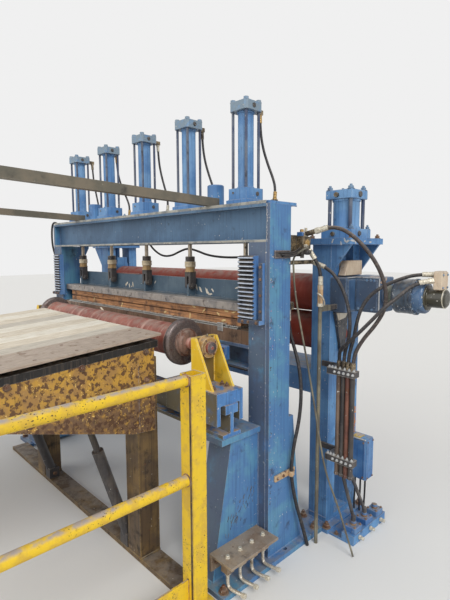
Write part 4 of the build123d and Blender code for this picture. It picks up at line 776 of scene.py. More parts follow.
@dataclass(frozen=True)
class Studio:
    """Plain pale floor, white surround and soft light from the operator's side."""

    floor_size: float = 60.0
    floor_drop: float = 0.0006
    floor_colour: Colour = (226, 225, 222)
    surround: Colour = (240, 240, 240)
    ambient: float = 0.62
    key_strength: float = 1.75
    key_angle: float = 30.0
    key_from: Point = (0.80, -0.32, 0.72)
    fill_strength: float = 1.0
    fill_angle: float = 60.0
    fill_from: Point = (-0.15, -0.9, 0.45)

    def sun(self, name: str, strength: float, angle: float, source: Point) -> None:
        """Add one distant soft lamp that shines from a direction."""
        lamp = bpy.data.lights.new(name, "SUN")
        lamp.energy = strength
        lamp.angle = math.radians(angle)
        linked(name, lamp).matrix_world = Vector(source).to_track_quat("Z", "Y").to_matrix().to_4x4()

    def build(self) -> bpy.types.Object:
        """Light the stand and lay the floor.

        Returns:
            The floor.
        """
        self.sun("key_light", self.key_strength, self.key_angle, self.key_from)
        self.sun("fill_light", self.fill_strength, self.fill_angle, self.fill_from)
        world = bpy.data.worlds.new("white_surround")
        bpy.context.scene.world = world
        world.use_nodes = True
        tree = world.node_tree
        tree.nodes.clear()
        rays = [
            add_node(tree, "ShaderNodeLightPath", output=f"Is {kind} Ray") for kind in ("Camera", "Glossy",
            "Transmission")]
        seen = add_node(tree, "ShaderNodeMath", {0: rays[0], 1: rays[1]}, operation="MAXIMUM")
        through = add_node(tree, "ShaderNodeMath", {0: seen, 1: rays[2]}, operation="MAXIMUM")
        light = add_node(tree, "ShaderNodeBackground", {"Strength": self.ambient})
        backdrop = add_node(tree, "ShaderNodeBackground", {"Color": linear(self.surround)})
        chosen = add_node(tree, "ShaderNodeMixShader", {0: through, 1: light, 2: backdrop})
        tree.links.new(chosen, tree.nodes.new("ShaderNodeOutputWorld").inputs[0])
        sheet = bmesh.new()
        bmesh.ops.create_grid(
            sheet, x_segments=1, y_segments=1, size=self.floor_size / 2,
            matrix=Matrix.Translation((0, 0, -self.floor_drop)))
        mesh = bpy.data.meshes.new("studio_floor")
        sheet.to_mesh(mesh)
        sheet.free()
        floor = linked("studio_floor", mesh)
        mesh.materials.append(Plaster("floor_plaster", self.floor_colour).material())
        return floor


@dataclass(frozen=True)
class Plaster(Finish):
    """Plain pale studio floor."""

    colour: Colour = (226, 225, 222)

    def build(self, graph: Graph) -> bpy.types.Material:
        """Give the floor one matt colour."""
        shade = graph.mix(self.colour, self.colour, 0.5)
        return graph.surface(shade, 0.9, graph.spots(0.5), 0.0)


def aimed(at: Spot, axis: Spot, spin: float = 0.0) -> Matrix:
    """Place a shape's own Z along an axis.

    Args:
        at: Where the shape's centre goes.
        axis: Direction that its Z takes.
        spin: Turn about that direction, in radians.

    Returns:
        The place as a matrix.
    """
    turn = Vector(axis).to_track_quat("Z", "Y").to_matrix().to_4x4()
    return Matrix.Translation(at) @ turn @ Matrix.Rotation(spin, 4, "Z")


def softened(profile: Profile, cut: float) -> list[tuple[float, float]]:
    """Cut the corners of a turned profile.

    Args:
        profile: Distance along the axis and radius of each corner.
        cut: How far from a corner its cut starts.

    Returns:
        The profile with two points at each corner between its ends.
    """
    points = [Vector(point) for point in profile]
    result = [points[0]]
    for before, corner, after in zip(points, points[1:], points[2:]):
        for other in (before, after):
            way = other - corner
            result.append(corner + way.normalized() * min(cut, way.length / 3))
    return [tuple(point) for point in (*result, points[-1])]


def span(edge: bmesh.types.BMEdge, axis: int) -> float:
    """Tell how far an edge reaches along one axis of its shape."""
    return abs(edge.verts[0].co[axis] - edge.verts[1].co[axis])


def ease(shape: bmesh.types.BMesh, edges: list[bmesh.types.BMEdge], width: float) -> None:
    """Cut some edges of a shape off flat, by a width on each side."""
    bmesh.ops.bevel(
        shape, geom=edges, offset=width, offset_type="OFFSET", affect="EDGES", segments=1, profile=0.5, material=-1)


class Piece:
    """Mesh of one piece, gathered from simple closed shapes in one or more finishes."""

    def __init__(self, *finishes: Finish, twin: bool = False, seed: int = 1) -> None:
        """Start an empty piece.

        Args:
            finishes: Finishes that its shapes may wear; the first is worn until another is chosen.
            twin: Whether each shape is repeated on the far side of the line.
            seed: Start of the piece's own chance.
        """
        self.finishes = finishes
        self.twin = twin
        self.chance = random.Random(seed)
        self.mesh = bmesh.new()
        self.store = bpy.data.meshes.new("shape_store")
        self.worn = 0

    def wear(self, finish: Finish) -> "Piece":
        """Choose the finish of the shapes that follow, and give the piece back for the next one."""
        self.worn = self.finishes.index(finish)
        return self

    def take(self, shape: bmesh.types.BMesh, place: Matrix | None = None) -> None:
        """Add a closed shape to the piece.

        Args:
            shape: Mesh of the shape, which is used up.
            place: Where the shape goes, if it isn't there yet.
        """
        if place is not None:
            bmesh.ops.transform(shape, matrix=place, verts=shape.verts[:])
        for face in shape.faces:
            face.material_index = self.worn
            face.smooth = True
        for flip in (Matrix.Identity(4), MIRROR)[:1 + self.twin]:
            bmesh.ops.transform(shape, matrix=flip, verts=shape.verts[:])
            bmesh.ops.recalc_face_normals(shape, faces=shape.faces[:])
            shape.to_mesh(self.store)
            self.mesh.from_mesh(self.store)
        shape.free()

    def block(self, low: Point, high: Point, bevel: float = 0.002, turn: Matrix | None = None) -> None:
        """Add a box with eased edges.

        Args:
            low: One corner.
            high: The opposite corner.
            bevel: Width of the eased edges.
            turn: Turn or shear about the box's centre.
        """
        low, high = Vector(low), Vector(high)
        size = [abs(value) for value in high - low]
        shape = bmesh.new()
        bmesh.ops.create_cube(shape, size=1.0, matrix=Matrix.Diagonal((*size, 1)))
        if bevel:
            ease(shape, shape.edges[:], min(bevel, min(size) / 3))
        self.take(shape, Matrix.Translation((low + high) / 2) @ (turn or Matrix.Identity(4)))

    def rod(
            self, start: Spot, end: Spot, dia: float, sides: int = 24, tip: float | None = None, bevel: float = 0.0,
            spin: float = 0.0) -> None:
        """Add a round or many-sided bar between two points.

        Args:
            start: Middle of its first end.
            end: Middle of its last end.
            dia: Diameter at the first end.
            sides: Number of sides.
            tip: Diameter at the last end, when it tapers.
            bevel: Width of the eased rims.
            spin: Turn about its own axis, in radians.
        """
        start, end = Vector(start), Vector(end)
        shape = bmesh.new()
        bmesh.ops.create_cone(
            shape, cap_ends=True, segments=sides, radius1=dia / 2, radius2=(dia if tip is None else tip) / 2,
            depth=(end - start).length)
        if bevel:
            ease(shape, [edge for edge in shape.edges if span(edge, 2) < TWIN_POINTS], bevel)
        self.take(shape, aimed((start + end) / 2, end - start, spin))

    def bolt(
            self, at: Spot, axis: Spot, across: float = 0.024, height: float = 0.014, washer: float = 0.004,
            stud: float = 0.0) -> None:
        """Add a hexagon head or nut on its washer.

        Args:
            at: Where it meets the surface.
            axis: Direction that it stands in.
            across: Width over two flats.
            height: Height of the hexagon.
            washer: Thickness of the washer, or 0 for none.
            stud: Length of thread beyond a nut.
        """
        at, axis = Vector(at), Vector(axis).normalized()
        if washer:
            self.rod(at, at + axis * washer, across * 1.5, 16, bevel=washer / 4)
        seat = at + axis * washer
        top = seat + axis * height
        self.rod(seat, top, across * CORNERS_OF_HEXAGON, 6, bevel=height / 8, spin=self.chance.uniform(0, 1))
        if stud:
            self.rod(top, top + axis * stud, across * 0.55, 12, bevel=stud / 6)

    def turned(
            self, profile: Profile, at: Spot, axis: Spot, steps: int = 40, ring: bool = False,
            cut: float = 0.0) -> None:
        """Add a turned shape.

        Args:
            profile: Distance along the axis and radius of each corner, from axis to axis, or around a ring.
            at: Where the profile's distances start.
            axis: Direction of the axis.
            steps: Number of facets around it.
            ring: Whether the profile closes on itself instead of on the axis.
            cut: Width of the eased corners.
        """
        if cut:
            profile = softened(profile, cut)
        shape = bmesh.new()
        points = [shape.verts.new((radius, 0, along)) for along, radius in profile]
        edges = [shape.edges.new(pair) for pair in zip(points, points[1:] + points[:ring])]
        bmesh.ops.spin(
            shape, geom=[*points, *edges], cent=(0, 0, 0), axis=(0, 0, 1), dvec=(0, 0, 0), angle=math.tau,
            steps=steps, use_merge=True, use_normal_flip=False, use_duplicate=False)
        bmesh.ops.remove_doubles(shape, verts=shape.verts[:], dist=TWIN_POINTS)
        self.take(shape, aimed(at, axis))

    def weld(self, start: Spot, end: Spot, width: float = 0.008) -> None:
        """Add a lumpy weld bead between two points.

        Args:
            start: First end.
            end: Last end.
            width: Width of the bead.
        """
        start, end = Vector(start), Vector(end)
        length = (end - start).length
        shape = bmesh.new()
        bmesh.ops.create_cone(shape, cap_ends=True, segments=6, radius1=width / 2, radius2=width / 2, depth=length)
        runs = [edge for edge in shape.edges if span(edge, 2) > length / 2]
        bmesh.ops.subdivide_edges(shape, edges=runs, cuts=max(1, min(60, round(length / width))))
        drift = self.chance.uniform(0, 50)
        for corner in shape.verts:
            swell = 1 + 0.35 * noise.noise(Vector((drift, corner.co.x * 60, corner.co.z * 75)))
            corner.co.x *= swell
            corner.co.y *= swell
        self.take(shape, aimed((start + end) / 2, end - start))

    def ring_weld(self, at: Spot, axis: Spot, radius: float, width: float = 0.008) -> None:
        """Add a weld bead around a pipe or shaft.

        Args:
            at: Middle of the ring.
            axis: Direction of the pipe.
            radius: Radius of the pipe.
            width: Width of the bead.
        """
        half = width / 2
        section = [
            (half * math.cos(turn), radius + half * math.sin(turn)) for turn in (math.tau * step / 6
            for step in range(6))]
        self.turned(section, at, axis, 28, ring=True)

    def flake(self, at: Spot, axis: Spot, size: float, thick: float = 0.0015, slim: float = 0.6) -> None:
        """Add a ragged flake of paint, rust or splintered wood that lies on a surface.

        Args:
            at: Where it lies.
            axis: Direction that the surface faces.
            size: Its greatest width.
            thick: Its thickness.
            slim: Its other width as a share of the greatest.
        """
        sides = 13
        shape = bmesh.new()
        bmesh.ops.create_cone(shape, cap_ends=True, segments=sides, radius1=size / 2, radius2=size / 2, depth=thick)
        reach = [self.chance.uniform(0.45, 1.0) for _ in range(sides)]
        for corner in shape.verts:
            share = reach[round(math.atan2(corner.co.y, corner.co.x) / math.tau * sides) % sides]
            corner.co.x *= share
            corner.co.y *= share * slim
        self.take(shape, aimed(at, axis, self.chance.uniform(0, math.tau)))

    def prism(self, outline: Sequence[Point], depth: Point, bevel: float = 0.0) -> None:
        """Add a plate of any outline.

        Args:
            outline: Corners of one face, in order.
            depth: Way from that face to the other.
            bevel: Width of the eased edges.
        """
        shape = bmesh.new()
        face = shape.faces.new([shape.verts.new(corner) for corner in outline])
        made = bmesh.ops.extrude_face_region(shape, geom=[face])["geom"]
        bmesh.ops.translate(shape, vec=depth, verts=[item for item in made if isinstance(item, bmesh.types.BMVert)])
        if bevel:
            ease(shape, shape.edges[:], bevel)
        self.take(shape)

    def pipe(self, route: Sequence[Point], dia: float) -> None:
        """Add a bent steel tube on a smooth line.

        Args:
            route: Points that the line is drawn towards.
            dia: Diameter of the tube.
        """
        curve = nurbs_line("pipe_line", route, dia, 3, 5)
        holder = bpy.data.objects.new("pipe_line", curve)
        mesh = bpy.data.meshes.new_from_object(holder)
        shape = bmesh.new()
        shape.from_mesh(mesh)
        bmesh.ops.remove_doubles(shape, verts=shape.verts[:], dist=1e-5)
        self.take(shape)
        bpy.data.meshes.remove(mesh)
        bpy.data.objects.remove(holder)
        bpy.data.curves.remove(curve)

    def close(
            self, name: str, slot: str, *replaced: str, body: Body = Body.FRAME,
            angle: float = 35.0) -> bpy.types.Object:
        """Finish the piece and hang it on its body.

        Args:
            name: Name of the piece.
            slot: Material slot of the record that it belongs to; not used.
            replaced: CAD nodes that it stands for.
            body: Body that it moves with.
            angle: Turn between two faces, in degrees, past which their edge is sharp.

        Returns:
            The finished object.
        """
        mesh = bpy.data.meshes.new(name)
        self.mesh.to_mesh(mesh)
        self.mesh.free()
        bpy.data.meshes.remove(self.store)
        mesh.set_sharp_from_angle(angle=math.radians(angle))
        for finish in self.finishes:
            mesh.materials.append(finish.material())
        piece = linked(name, mesh)
        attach(piece, body.value)
        if replaced:
            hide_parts(*replaced)
        LOG.info("built %s, %d faces", name, len(mesh.polygons))
        return piece


@dataclass(frozen=True)
class PressStand:
    """Small parts of the columns, legs and crown: nuts, weld beads, chips, pipe slot and limit box."""

    base_top: float = 0.025
    column_anchors: tuple[tuple[float, float], ...] = ((1.252, -0.454), (1.252, 0.268), (1.092, 0.268))
    housing_anchors: tuple[tuple[float, float], ...] = (
        (1.138, 0.320), (1.302, 0.320), (1.138, 0.680), (1.302, 0.680))
    cheek_inner: float = 1.218
    cheek_outer: float = 1.242
    leg_outer: float = 1.172
    front: float = -0.127
    rear: float = 0.035
    ledge_under: float = 0.697
    leg_top_front: float = -0.324
    leg_foot_front: float = -0.452
    crown_low: float = 1.663
    crown_high: float = 1.849
    crown_half: float = 1.2175
    slot_y: tuple[float, float] = (-0.088, 0.024)
    slot_z: tuple[float, float] = (1.588, 1.616)
    cheek_chips: int = 64
    joint_chips: int = 26
    leg_scratches: int = 46

    def nuts(self) -> None:
        """Put nuts on the anchor bolts that stand clear of the columns and housings."""
        piece = Piece(RUSTY_BOLTS, twin=True, seed=3)
        for x, y in (*self.column_anchors, *self.housing_anchors):
            piece.bolt((x, y, self.base_top), UP, 0.034, 0.018, 0.003, 0.016)
        piece.close("anchor_nuts", "dark_steel")

    def welds(self) -> None:
        """Lay the weld beads of the columns and legs."""
        piece = Piece(FRAME_BLUE, twin=True, seed=5)
        top, low, under, high = self.crown_low, self.base_top, self.ledge_under, self.crown_high
        inner, outer, leg, front = self.cheek_inner, self.cheek_outer, self.leg_outer, self.front
        foot = self.leg_foot_front
        for first, last, width in (
                ((inner, front, low), (inner, front, top), 0.007), ((inner, self.rear, 0.75), (inner, self.rear, top),
                0.007), ((leg, front, low), (leg, front, under), 0.009), ((leg, foot, low), (leg, front, low), 0.010),
                ((outer, front, low), (outer, 0.15, low), 0.010), ((leg, self.leg_top_front, under),
                (leg, front, under), 0.008), ((leg - 0.15, foot, low), (leg, foot, low), 0.010),
                ((inner, -0.077, top + 0.014), (inner, -0.077, high - 0.014), 0.008),
                ((inner, -0.11, high), (inner, 0.11, high), 0.007)):
            piece.weld(first, last, width)
        piece.close("column_welds", "frame_blue")
        edge = Piece(CROWN_EDGE, seed=6)
        for z0, z1 in ((top + 0.0005, top + 0.0115), (high + 0.001, high + 0.0155)):
            edge.block((-self.crown_half, front - 0.0010, z0), (self.crown_half, front + 0.0008, z1), 0.0005)
        edge.close("crown_edges", "crown_blue")

    def marks(self) -> None:
        """Chip the near cheek along its front edge, and scratch the near leg's side."""
        piece = Piece(CHIP_BLACK, CHIP_PALE, CHIP_PINK, seed=11)
        chance = piece.chance
        for number in range(self.cheek_chips):
            piece.wear((CHIP_BLACK, CHIP_PALE, CHIP_BLACK, CHIP_PINK)[number % 4])
            at = (
                self.cheek_outer + 0.0002, self.front + 0.008 + 0.020 * chance.random() ** 2,
                chance.uniform(0.30, 1.60))
            piece.flake(at, ALONG_X, chance.uniform(0.005, 0.013), 0.0008, chance.uniform(0.4, 0.9))
        piece.wear(CHIP_PALE)
        for number in range(self.joint_chips):
            at = (
                self.cheek_inner + 0.005 + chance.uniform(-0.002, 0.002), self.front - 0.0002,
                self.crown_low + (self.crown_high - self.crown_low) * (number + 0.5) / self.joint_chips)
            piece.flake(at, -ALONG_Y, chance.uniform(0.007, 0.013), 0.0012, 0.5)
        piece.wear(CHIP_BLACK)
        for number in range(self.leg_scratches):
            y = chance.uniform(-0.37, -0.15)
            z = 0.235 + (y + 0.37) * 0.75 + chance.uniform(-0.055, 0.055)
            way = Matrix.Translation((self.leg_outer + 0.0002, y, z)) @ Matrix.Rotation(
                chance.uniform(-0.7, 0.2), 4, "X")
            length = chance.uniform(0.008, 0.028)
            piece.block((-0.0005, -0.0014, -length / 2), (0.0005, 0.0014, length / 2), 0.0, way)
        piece.close("paint_marks", "frame_blue")

    def pipe_slot(self) -> None:
        """Fit the lined slot in the near cheek that thin pipes go through; the slot's hollow is a dark plate of
        painted shade.
        """
        piece = Piece(DARK_STEEL, FLANGE_STEEL, CABLE_BLACK, seed=7)
        x, (y0, y1), (z0, z1) = self.cheek_outer, self.slot_y, self.slot_z
        # Dark plate in the slot stands for its hollow: painted shade.
        piece.block((x - 0.004, y0, z0), (x + 0.0015, y1, z1), 0.0005)
        piece.wear(FLANGE_STEEL).block(
            (x - 0.002, y0 - 0.004, z1 - 0.001), (x + 0.006, y1 + 0.004, z1 + 0.006), 0.0015)
        piece.block((x - 0.002, y0 - 0.004, z0 - 0.006), (x + 0.006, y1 + 0.004, z0 + 0.001), 0.0015)
        piece.block((x - 0.002, y0 - 0.006, z0 - 0.006), (x + 0.005, y0, z1 + 0.006), 0.0015)
        piece.wear(CABLE_BLACK)
        for number, rise in enumerate((0.021, 0.012, 0.004)):
            reach = 0.010 + 0.004 * number
            piece.pipe(
                ((x - 0.002, -0.066 + 0.02 * number, z0 + rise), (x + reach, -0.04, z0 + rise),
                (x + reach + 0.004, 0.02, z0 + rise), (x + reach, 0.07, z0 + rise + 0.008),
                (x + 0.006, 0.11, z0 + rise + 0.03)), 0.009)
        piece.close("cheek_slot", "dark_steel")

    def limit_box(self) -> None:
        """Fit the small box on the bed beam's front."""
        piece = Piece(JUNCTION_BLUE, RUSTY_BOLTS, CABLE_BLACK, seed=9)
        piece.block((0.869, -0.157, 1.035), (0.965, self.front, 1.113), 0.004)
        piece.block((0.873, -0.163, 1.039), (0.961, -0.156, 1.109))
        piece.wear(RUSTY_BOLTS)
        for x, z in product((0.881, 0.953), (1.047, 1.101)):
            piece.bolt((x, -0.163, z), -ALONG_Y, 0.007, 0.003, 0.001)
        piece.wear(CABLE_BLACK).pipe(
            ((0.917, -0.142, 1.036), (0.917, -0.142, 1.020), (0.93, -0.138, 1.008), (0.98, -0.134, 1.003),
            (1.05, -0.1335, 1.003), (1.098, -0.1335, 1.003)), 0.011)
        piece.close("limit_box", "saddle_blue")

    def build(self) -> None:
        """Build every small part of the stand."""
        self.nuts()
        self.welds()
        self.marks()
        self.pipe_slot()
        self.limit_box()


@dataclass(frozen=True)
class PressCylinders:
    """What the plain cylinders lack: dark tie rods, studs, ports, rings and rod glands."""

    pitch: float = 0.480
    count: int = 5
    plate_top: float = 1.865
    foot_top: float = 1.890
    head_top: float = 1.951
    barrel_top: float = 2.349
    cap_top: float = 2.395
    half_head: float = 0.065
    rod_offset: float = 0.048
    sleeve_dia: float = 0.0152
    stud_dia: float = 0.012
    stud_height: float = 0.0138
    washer_dia: float = 0.032
    band_dia: float = 0.093
    band_height: float = 0.010
    neck_z: float = 1.5875
    collar_z: float = 1.5555
    nut_z: float = 1.5225
    clevis_pin_z: float = 1.406

    def axes(self) -> list[float]:
        """Give the X of each cylinder."""
        return [self.pitch * (number - (self.count - 1) / 2) for number in range(self.count)]

    def tie_rods(self) -> None:
        """Sleeve the tie rods in dark steel, with a stud in each nut."""
        piece = Piece(TIE_DARK, BOLT_BLUE, seed=11)
        for x in self.axes():
            for dx, dy in product((-self.rod_offset, self.rod_offset), repeat=2):
                at, cap = x + dx, self.cap_top
                piece.wear(TIE_DARK).rod((at, dy, self.head_top), (at, dy, self.barrel_top), self.sleeve_dia, 16)
                piece.rod((at, dy, cap), (at, dy, cap + self.stud_height), self.stud_dia, 12)
                piece.wear(BOLT_BLUE).rod((at, dy, cap), (at, dy, cap + 0.002), self.washer_dia, 20)
        piece.close("press_tie_rods", "dark_steel")

    def fittings(self) -> None:
        """Add the barrels' end rings, the ports and the weld beads of the feet."""
        piece = Piece(CYLINDER_BLUE, DARK_STEEL, FITTING_STEEL, seed=13)
        half, foot, port_z = self.half_head, self.foot_top, (self.barrel_top + self.cap_top) / 2
        for x in self.axes():
            piece.wear(CYLINDER_BLUE)
            for z0, z1 in (
                    (self.head_top, self.head_top + self.band_height), (self.barrel_top - self.band_height,
                    self.barrel_top)):
                piece.rod((x, 0, z0), (x, 0, z1), self.band_dia, 48, bevel=0.002)
            for side in (-1, 1):
                edge = side * (half + 0.004)
                piece.weld((x - half, edge, foot), (x + half, edge, foot), 0.006)
                piece.weld((x + edge, -half, foot), (x + edge, half, foot), 0.006)
            piece.wear(DARK_STEEL)
            face = x + half
            piece.rod((face - 0.002, -0.006, port_z), (face + 0.004, -0.006, port_z), 0.026, 6, bevel=0.001)
            piece.rod((face, -0.006, port_z), (face + 0.0062, -0.006, port_z), 0.014, 16)
            piece.rod((face - 0.002, 0.02, 1.922), (face + 0.004, 0.02, 1.922), 0.024, 6)
            piece.wear(FITTING_STEEL).rod((x - 0.03, -half - 0.004, 1.928), (x - 0.03, -half, 1.928), 0.012, 6)
        piece.close("press_cylinder_fittings", "cylinder_blue")

    def couplers(self) -> None:
        """Turn the couplers under the crown, with the clevis pins' heads and cotters."""
        piece = Piece(COUPLER_DARK, COUPLER_CREAM, COUPLER_BRASS, DARK_STEEL, ROD_STEEL, seed=15)
        for x in self.axes():
            piece.turned(
                ((0, 0.0125), (0, 0.026), (0.004, 0.0295), (0.032, 0.0295), (0.032, 0.0125)), (x, 0, self.neck_z),
                -UP, 36, ring=True, cut=0.002)
            piece.wear(COUPLER_CREAM).turned(
                ((0, 0.026), (0, 0.0345), (0.014, 0.0345), (0.014, 0.0328), (0.018, 0.0328), (0.018, 0.0345),
                (0.033, 0.0345), (0.033, 0.026)), (x, 0, self.collar_z), -UP, ring=True, cut=0.0015)
            piece.wear(COUPLER_BRASS).turned(
                ((0, 0.0125), (0, 0.0300), (0.022, 0.0300), (0.026, 0.034), (0.0322, 0.034), (0.0322, 0.0125)),
                (x, 0, self.nut_z), -UP, 36, ring=True, cut=0.001)
            piece.wear(DARK_STEEL)
            for side in (-1, 1):
                head = x + side * 0.0265
                piece.turned(
                    ((0, 0), (0, 0.016), (0.005, 0.016), (0.0068, 0.013), (0.0068, 0)), (head, 0, self.clevis_pin_z),
                    (side, 0, 0), 24)
                piece.wear(ROD_STEEL).rod(
                    (head + side * 0.0045, -0.017, 1.400), (head + side * 0.0045, 0.018, 1.412), 0.003, 8)
                piece.wear(DARK_STEEL)
            piece.wear(COUPLER_DARK)
        piece.close("rod_couplers", "dark_steel", body=Body.PRESS_BEAM)

    def glands(self) -> None:
        """Put a gland ring around each rod under the crown's slot."""
        piece = Piece(CROWN_BLUE, seed=17)
        for x in self.axes():
            for y0, y1 in ((-0.067, -0.022), (0.022, 0.067)):
                piece.block((x - 0.045, y0, 1.8468), (x + 0.045, y1, 1.8652))
        piece.close("rod_glands", "crown_blue")

    def build(self) -> None:
        """Build the parts of all cylinders."""
        self.tie_rods()
        self.fittings()
        self.couplers()
        self.glands()


@dataclass(frozen=True)
class PressPads:
    """Wood pads as worn boards, with the strips, clip, flakes and bolts around them."""

    half_length: float = 1.010
    half_depth: float = 0.088
    upper_z: tuple[float, float] = (1.258, 1.300)
    lower_z: tuple[float, float] = (1.218, 1.252)
    strip_z: tuple[float, float] = (1.205, 1.218)
    boards: int = 7
    board_edge: float = 0.012
    board_cuts: int = 14
    board_gap: float = 0.002
    stagger: float = 0.09
    dent: float = 0.003
    splinters: int = 14
    bolts: int = 12
    strip_edge: float = 0.1205
    bar_half: float = 1.0885

    def board_row(self, piece: Piece, low: float, high: float, wear_face: int) -> None:
        """Lay one pad's boards end to end.

        Args:
            piece: Piece that takes them.
            low: Bottom of the pad.
            high: Top of the pad.
            wear_face: -1 where the worn face is the lower one, 1 where it is the upper one.
        """
        step = 2 * self.half_length / self.boards
        for number in range(self.boards):
            for row, (y0, y1) in enumerate(((-self.half_depth, -0.001), (0.001, self.half_depth))):
                start = -self.half_length + number * step + (self.stagger * row if number else 0.0)
                end = -self.half_length + (number + 1) * step + (
                    self.stagger * row if number < self.boards - 1 else 0.0)
                shape = bmesh.new()
                bmesh.ops.create_cube(shape, size=1.0)
                long_edges = [edge for edge in shape.edges if span(edge, 0) > 0.5]
                bmesh.ops.subdivide_edges(shape, edges=long_edges, cuts=self.board_cuts)
                ease(shape, [edge for edge in shape.edges if edge.calc_face_angle(0) > 1], self.board_edge)
                size = Vector((end - start - self.board_gap, y1 - y0, high - low))
                middle = Vector(((start + end) / 2, (y0 + y1) / 2, (low + high) / 2))
                for corner in shape.verts:
                    at = Vector(c * s for c, s in zip(corner.co, size)) + middle
                    dent = max(0.0, noise.noise(at * 17) * 0.5 + noise.noise(at * 60) * 0.5) * self.dent
                    if corner.co.z * wear_face > 0.3:
                        at.z -= wear_face * dent
                    if abs(corner.co.y) > 0.3:
                        at.y -= math.copysign(dent, at.y)
                    corner.co = at
                self.splinter(shape, end)
                piece.take(shape)

    def splinter(self, shape: bmesh.types.BMesh, end: float) -> None:
        """Break the near end of the last boards into uneven splinters.

        Args:
            shape: Mesh of one board, in place.
            end: X of the board's near end.
        """
        if end < self.half_length - 0.001:
            return
        for corner in shape.verts:
            if corner.co.x > end - 0.05:
                corner.co.x -= 0.030 * abs(noise.noise(Vector((3, corner.co.y * 38, corner.co.z * 160))))

    def pads(self) -> None:
        """Build both pads in place of their plain nodes."""
        upper = Piece(PAD_WOOD, PAD_SPLINTERS, seed=21)
        self.board_row(upper, *self.upper_z, -1)
        upper.wear(PAD_SPLINTERS)
        for number in range(self.splinters):
            y = upper.chance.uniform(-self.half_depth, -0.02)
            z = upper.chance.uniform(self.upper_z[0] + 0.006, self.upper_z[1] - 0.006)
            length = upper.chance.uniform(0.02, 0.075)
            start = self.half_length - 0.03 - 0.01 * (number % 3)
            upper.rod((start, y, z), (start + length * 0.6, y - 0.002, z - 0.002), 0.007, 5, tip=0.001)
        for x in (0.62, 0.71, 0.83, 0.90, 0.955):
            upper.flake(
                (x, -self.half_depth - 0.0006, upper.chance.uniform(1.266, 1.292)), -ALONG_Y, 0.045, 0.003, 0.3)
        upper.close("upper_pad_boards", "pad_wood", "upper_wood_pad", body=Body.PRESS_BEAM)
        lower = Piece(PAD_WOOD, PAD_SPLINTERS, seed=23)
        self.board_row(lower, *self.lower_z, 1)
        lower.wear(PAD_SPLINTERS)
        for x in (-0.62, -0.2, 0.33, 0.58, 0.88):
            lower.flake(
                (x, -self.half_depth - 0.0006, lower.chance.uniform(1.225, 1.246)), -ALONG_Y, 0.05, 0.002, 0.3)
        lower.close("lower_pad_boards", "pad_wood", "lower_wood_pad")

    def strips(self) -> None:
        """Lay the twin steel strips along the lower pad, with their bolts and the bright clip."""
        piece = Piece(STRIP_STEEL, RUSTY_BOLTS, PALE_SCRAP, seed=25)
        low, high = self.strip_z
        half, inner, outer = self.half_length, self.half_depth, self.strip_edge
        piece.block((-half, -outer, low), (half, -inner, low + 0.005), 0.001)
        piece.block((-half, -0.112, low + 0.0085), (half, -inner, high), 0.001)
        piece.block((-half, inner, low), (half, outer, low + 0.005), 0.001)
        piece.wear(RUSTY_BOLTS)
        for number in range(self.bolts):
            x = -0.96 + number * 0.1745
            piece.bolt((x, -0.104, low + 0.013), UP, 0.011, 0.004, 0.001)
            piece.bolt((x, 0.106, low + 0.005), UP, 0.011, 0.004, 0.001)
        piece.wear(STRIP_STEEL).block((0.862, -0.1265, 1.183), (0.905, -0.1195, 1.229))
        piece.block((0.862, -0.1265, 1.2195), (0.905, -0.0885, 1.2255))
        piece.wear(PALE_SCRAP)
        curl = Matrix.Rotation(0.5, 4, "Y") @ Matrix.Rotation(0.3, 4, "X")
        piece.block((-0.45, -0.134, 1.176), (-0.375, -0.1215, 1.180), 0.001, curl)
        piece.block((-0.405, -0.138, 1.160), (-0.365, -0.1265, 1.163), 0.001, curl.inverted())
        piece.close("lower_pad_strips", "rod_steel")

    def beam_details(self) -> None:
        """Bolt the upper pad to the press beam, and leave the old flakes and rags on the beam."""
        piece = Piece(RUSTY_BOLTS, PALE_SCRAP, RED_SCRAP, BEAM_SLATE, BAR_WORN, seed=27)
        for number in range(self.bolts):
            piece.bolt((-0.99 + number * 0.18, 0.082, 1.342), UP, 0.019, 0.010, 0.003, 0.006)
        piece.wear(BAR_WORN).block((-self.bar_half, -0.1012, 1.3008), (self.bar_half, -0.0985, 1.3415), 0.0008)
        piece.block((-self.bar_half, -0.1005, 1.3405), (self.bar_half, -0.0300, 1.3428), 0.0008)
        piece.wear(PALE_SCRAP)
        for x, z, size in (
                (-0.33, 1.372, 0.06), (-0.29, 1.364, 0.045), (-0.24, 1.376, 0.05), (-0.26, 1.358, 0.03),
                (0.50, 1.392, 0.05), (0.54, 1.380, 0.06), (0.60, 1.372, 0.07), (0.65, 1.384, 0.04),
                (0.63, 1.358, 0.05), (0.05, 1.405, 0.03), (0.86, 1.41, 0.035)):
            piece.flake((x, 0.0335, z), -ALONG_Y, size, 0.002, 0.35)
        piece.wear(RED_SCRAP).block((-0.41, 0.031, 1.4515), (-0.15, 0.052, 1.4575), 0.001)
        piece.wear(BEAM_SLATE).weld((-1.08, 0.034, 1.342), (1.08, 0.034, 1.342), 0.009)
        piece.close("press_beam_details", "beam_slate", body=Body.PRESS_BEAM)

    def build(self) -> None:
        """Build the pads and what is on them."""
        self.pads()
        self.strips()
        self.beam_details()


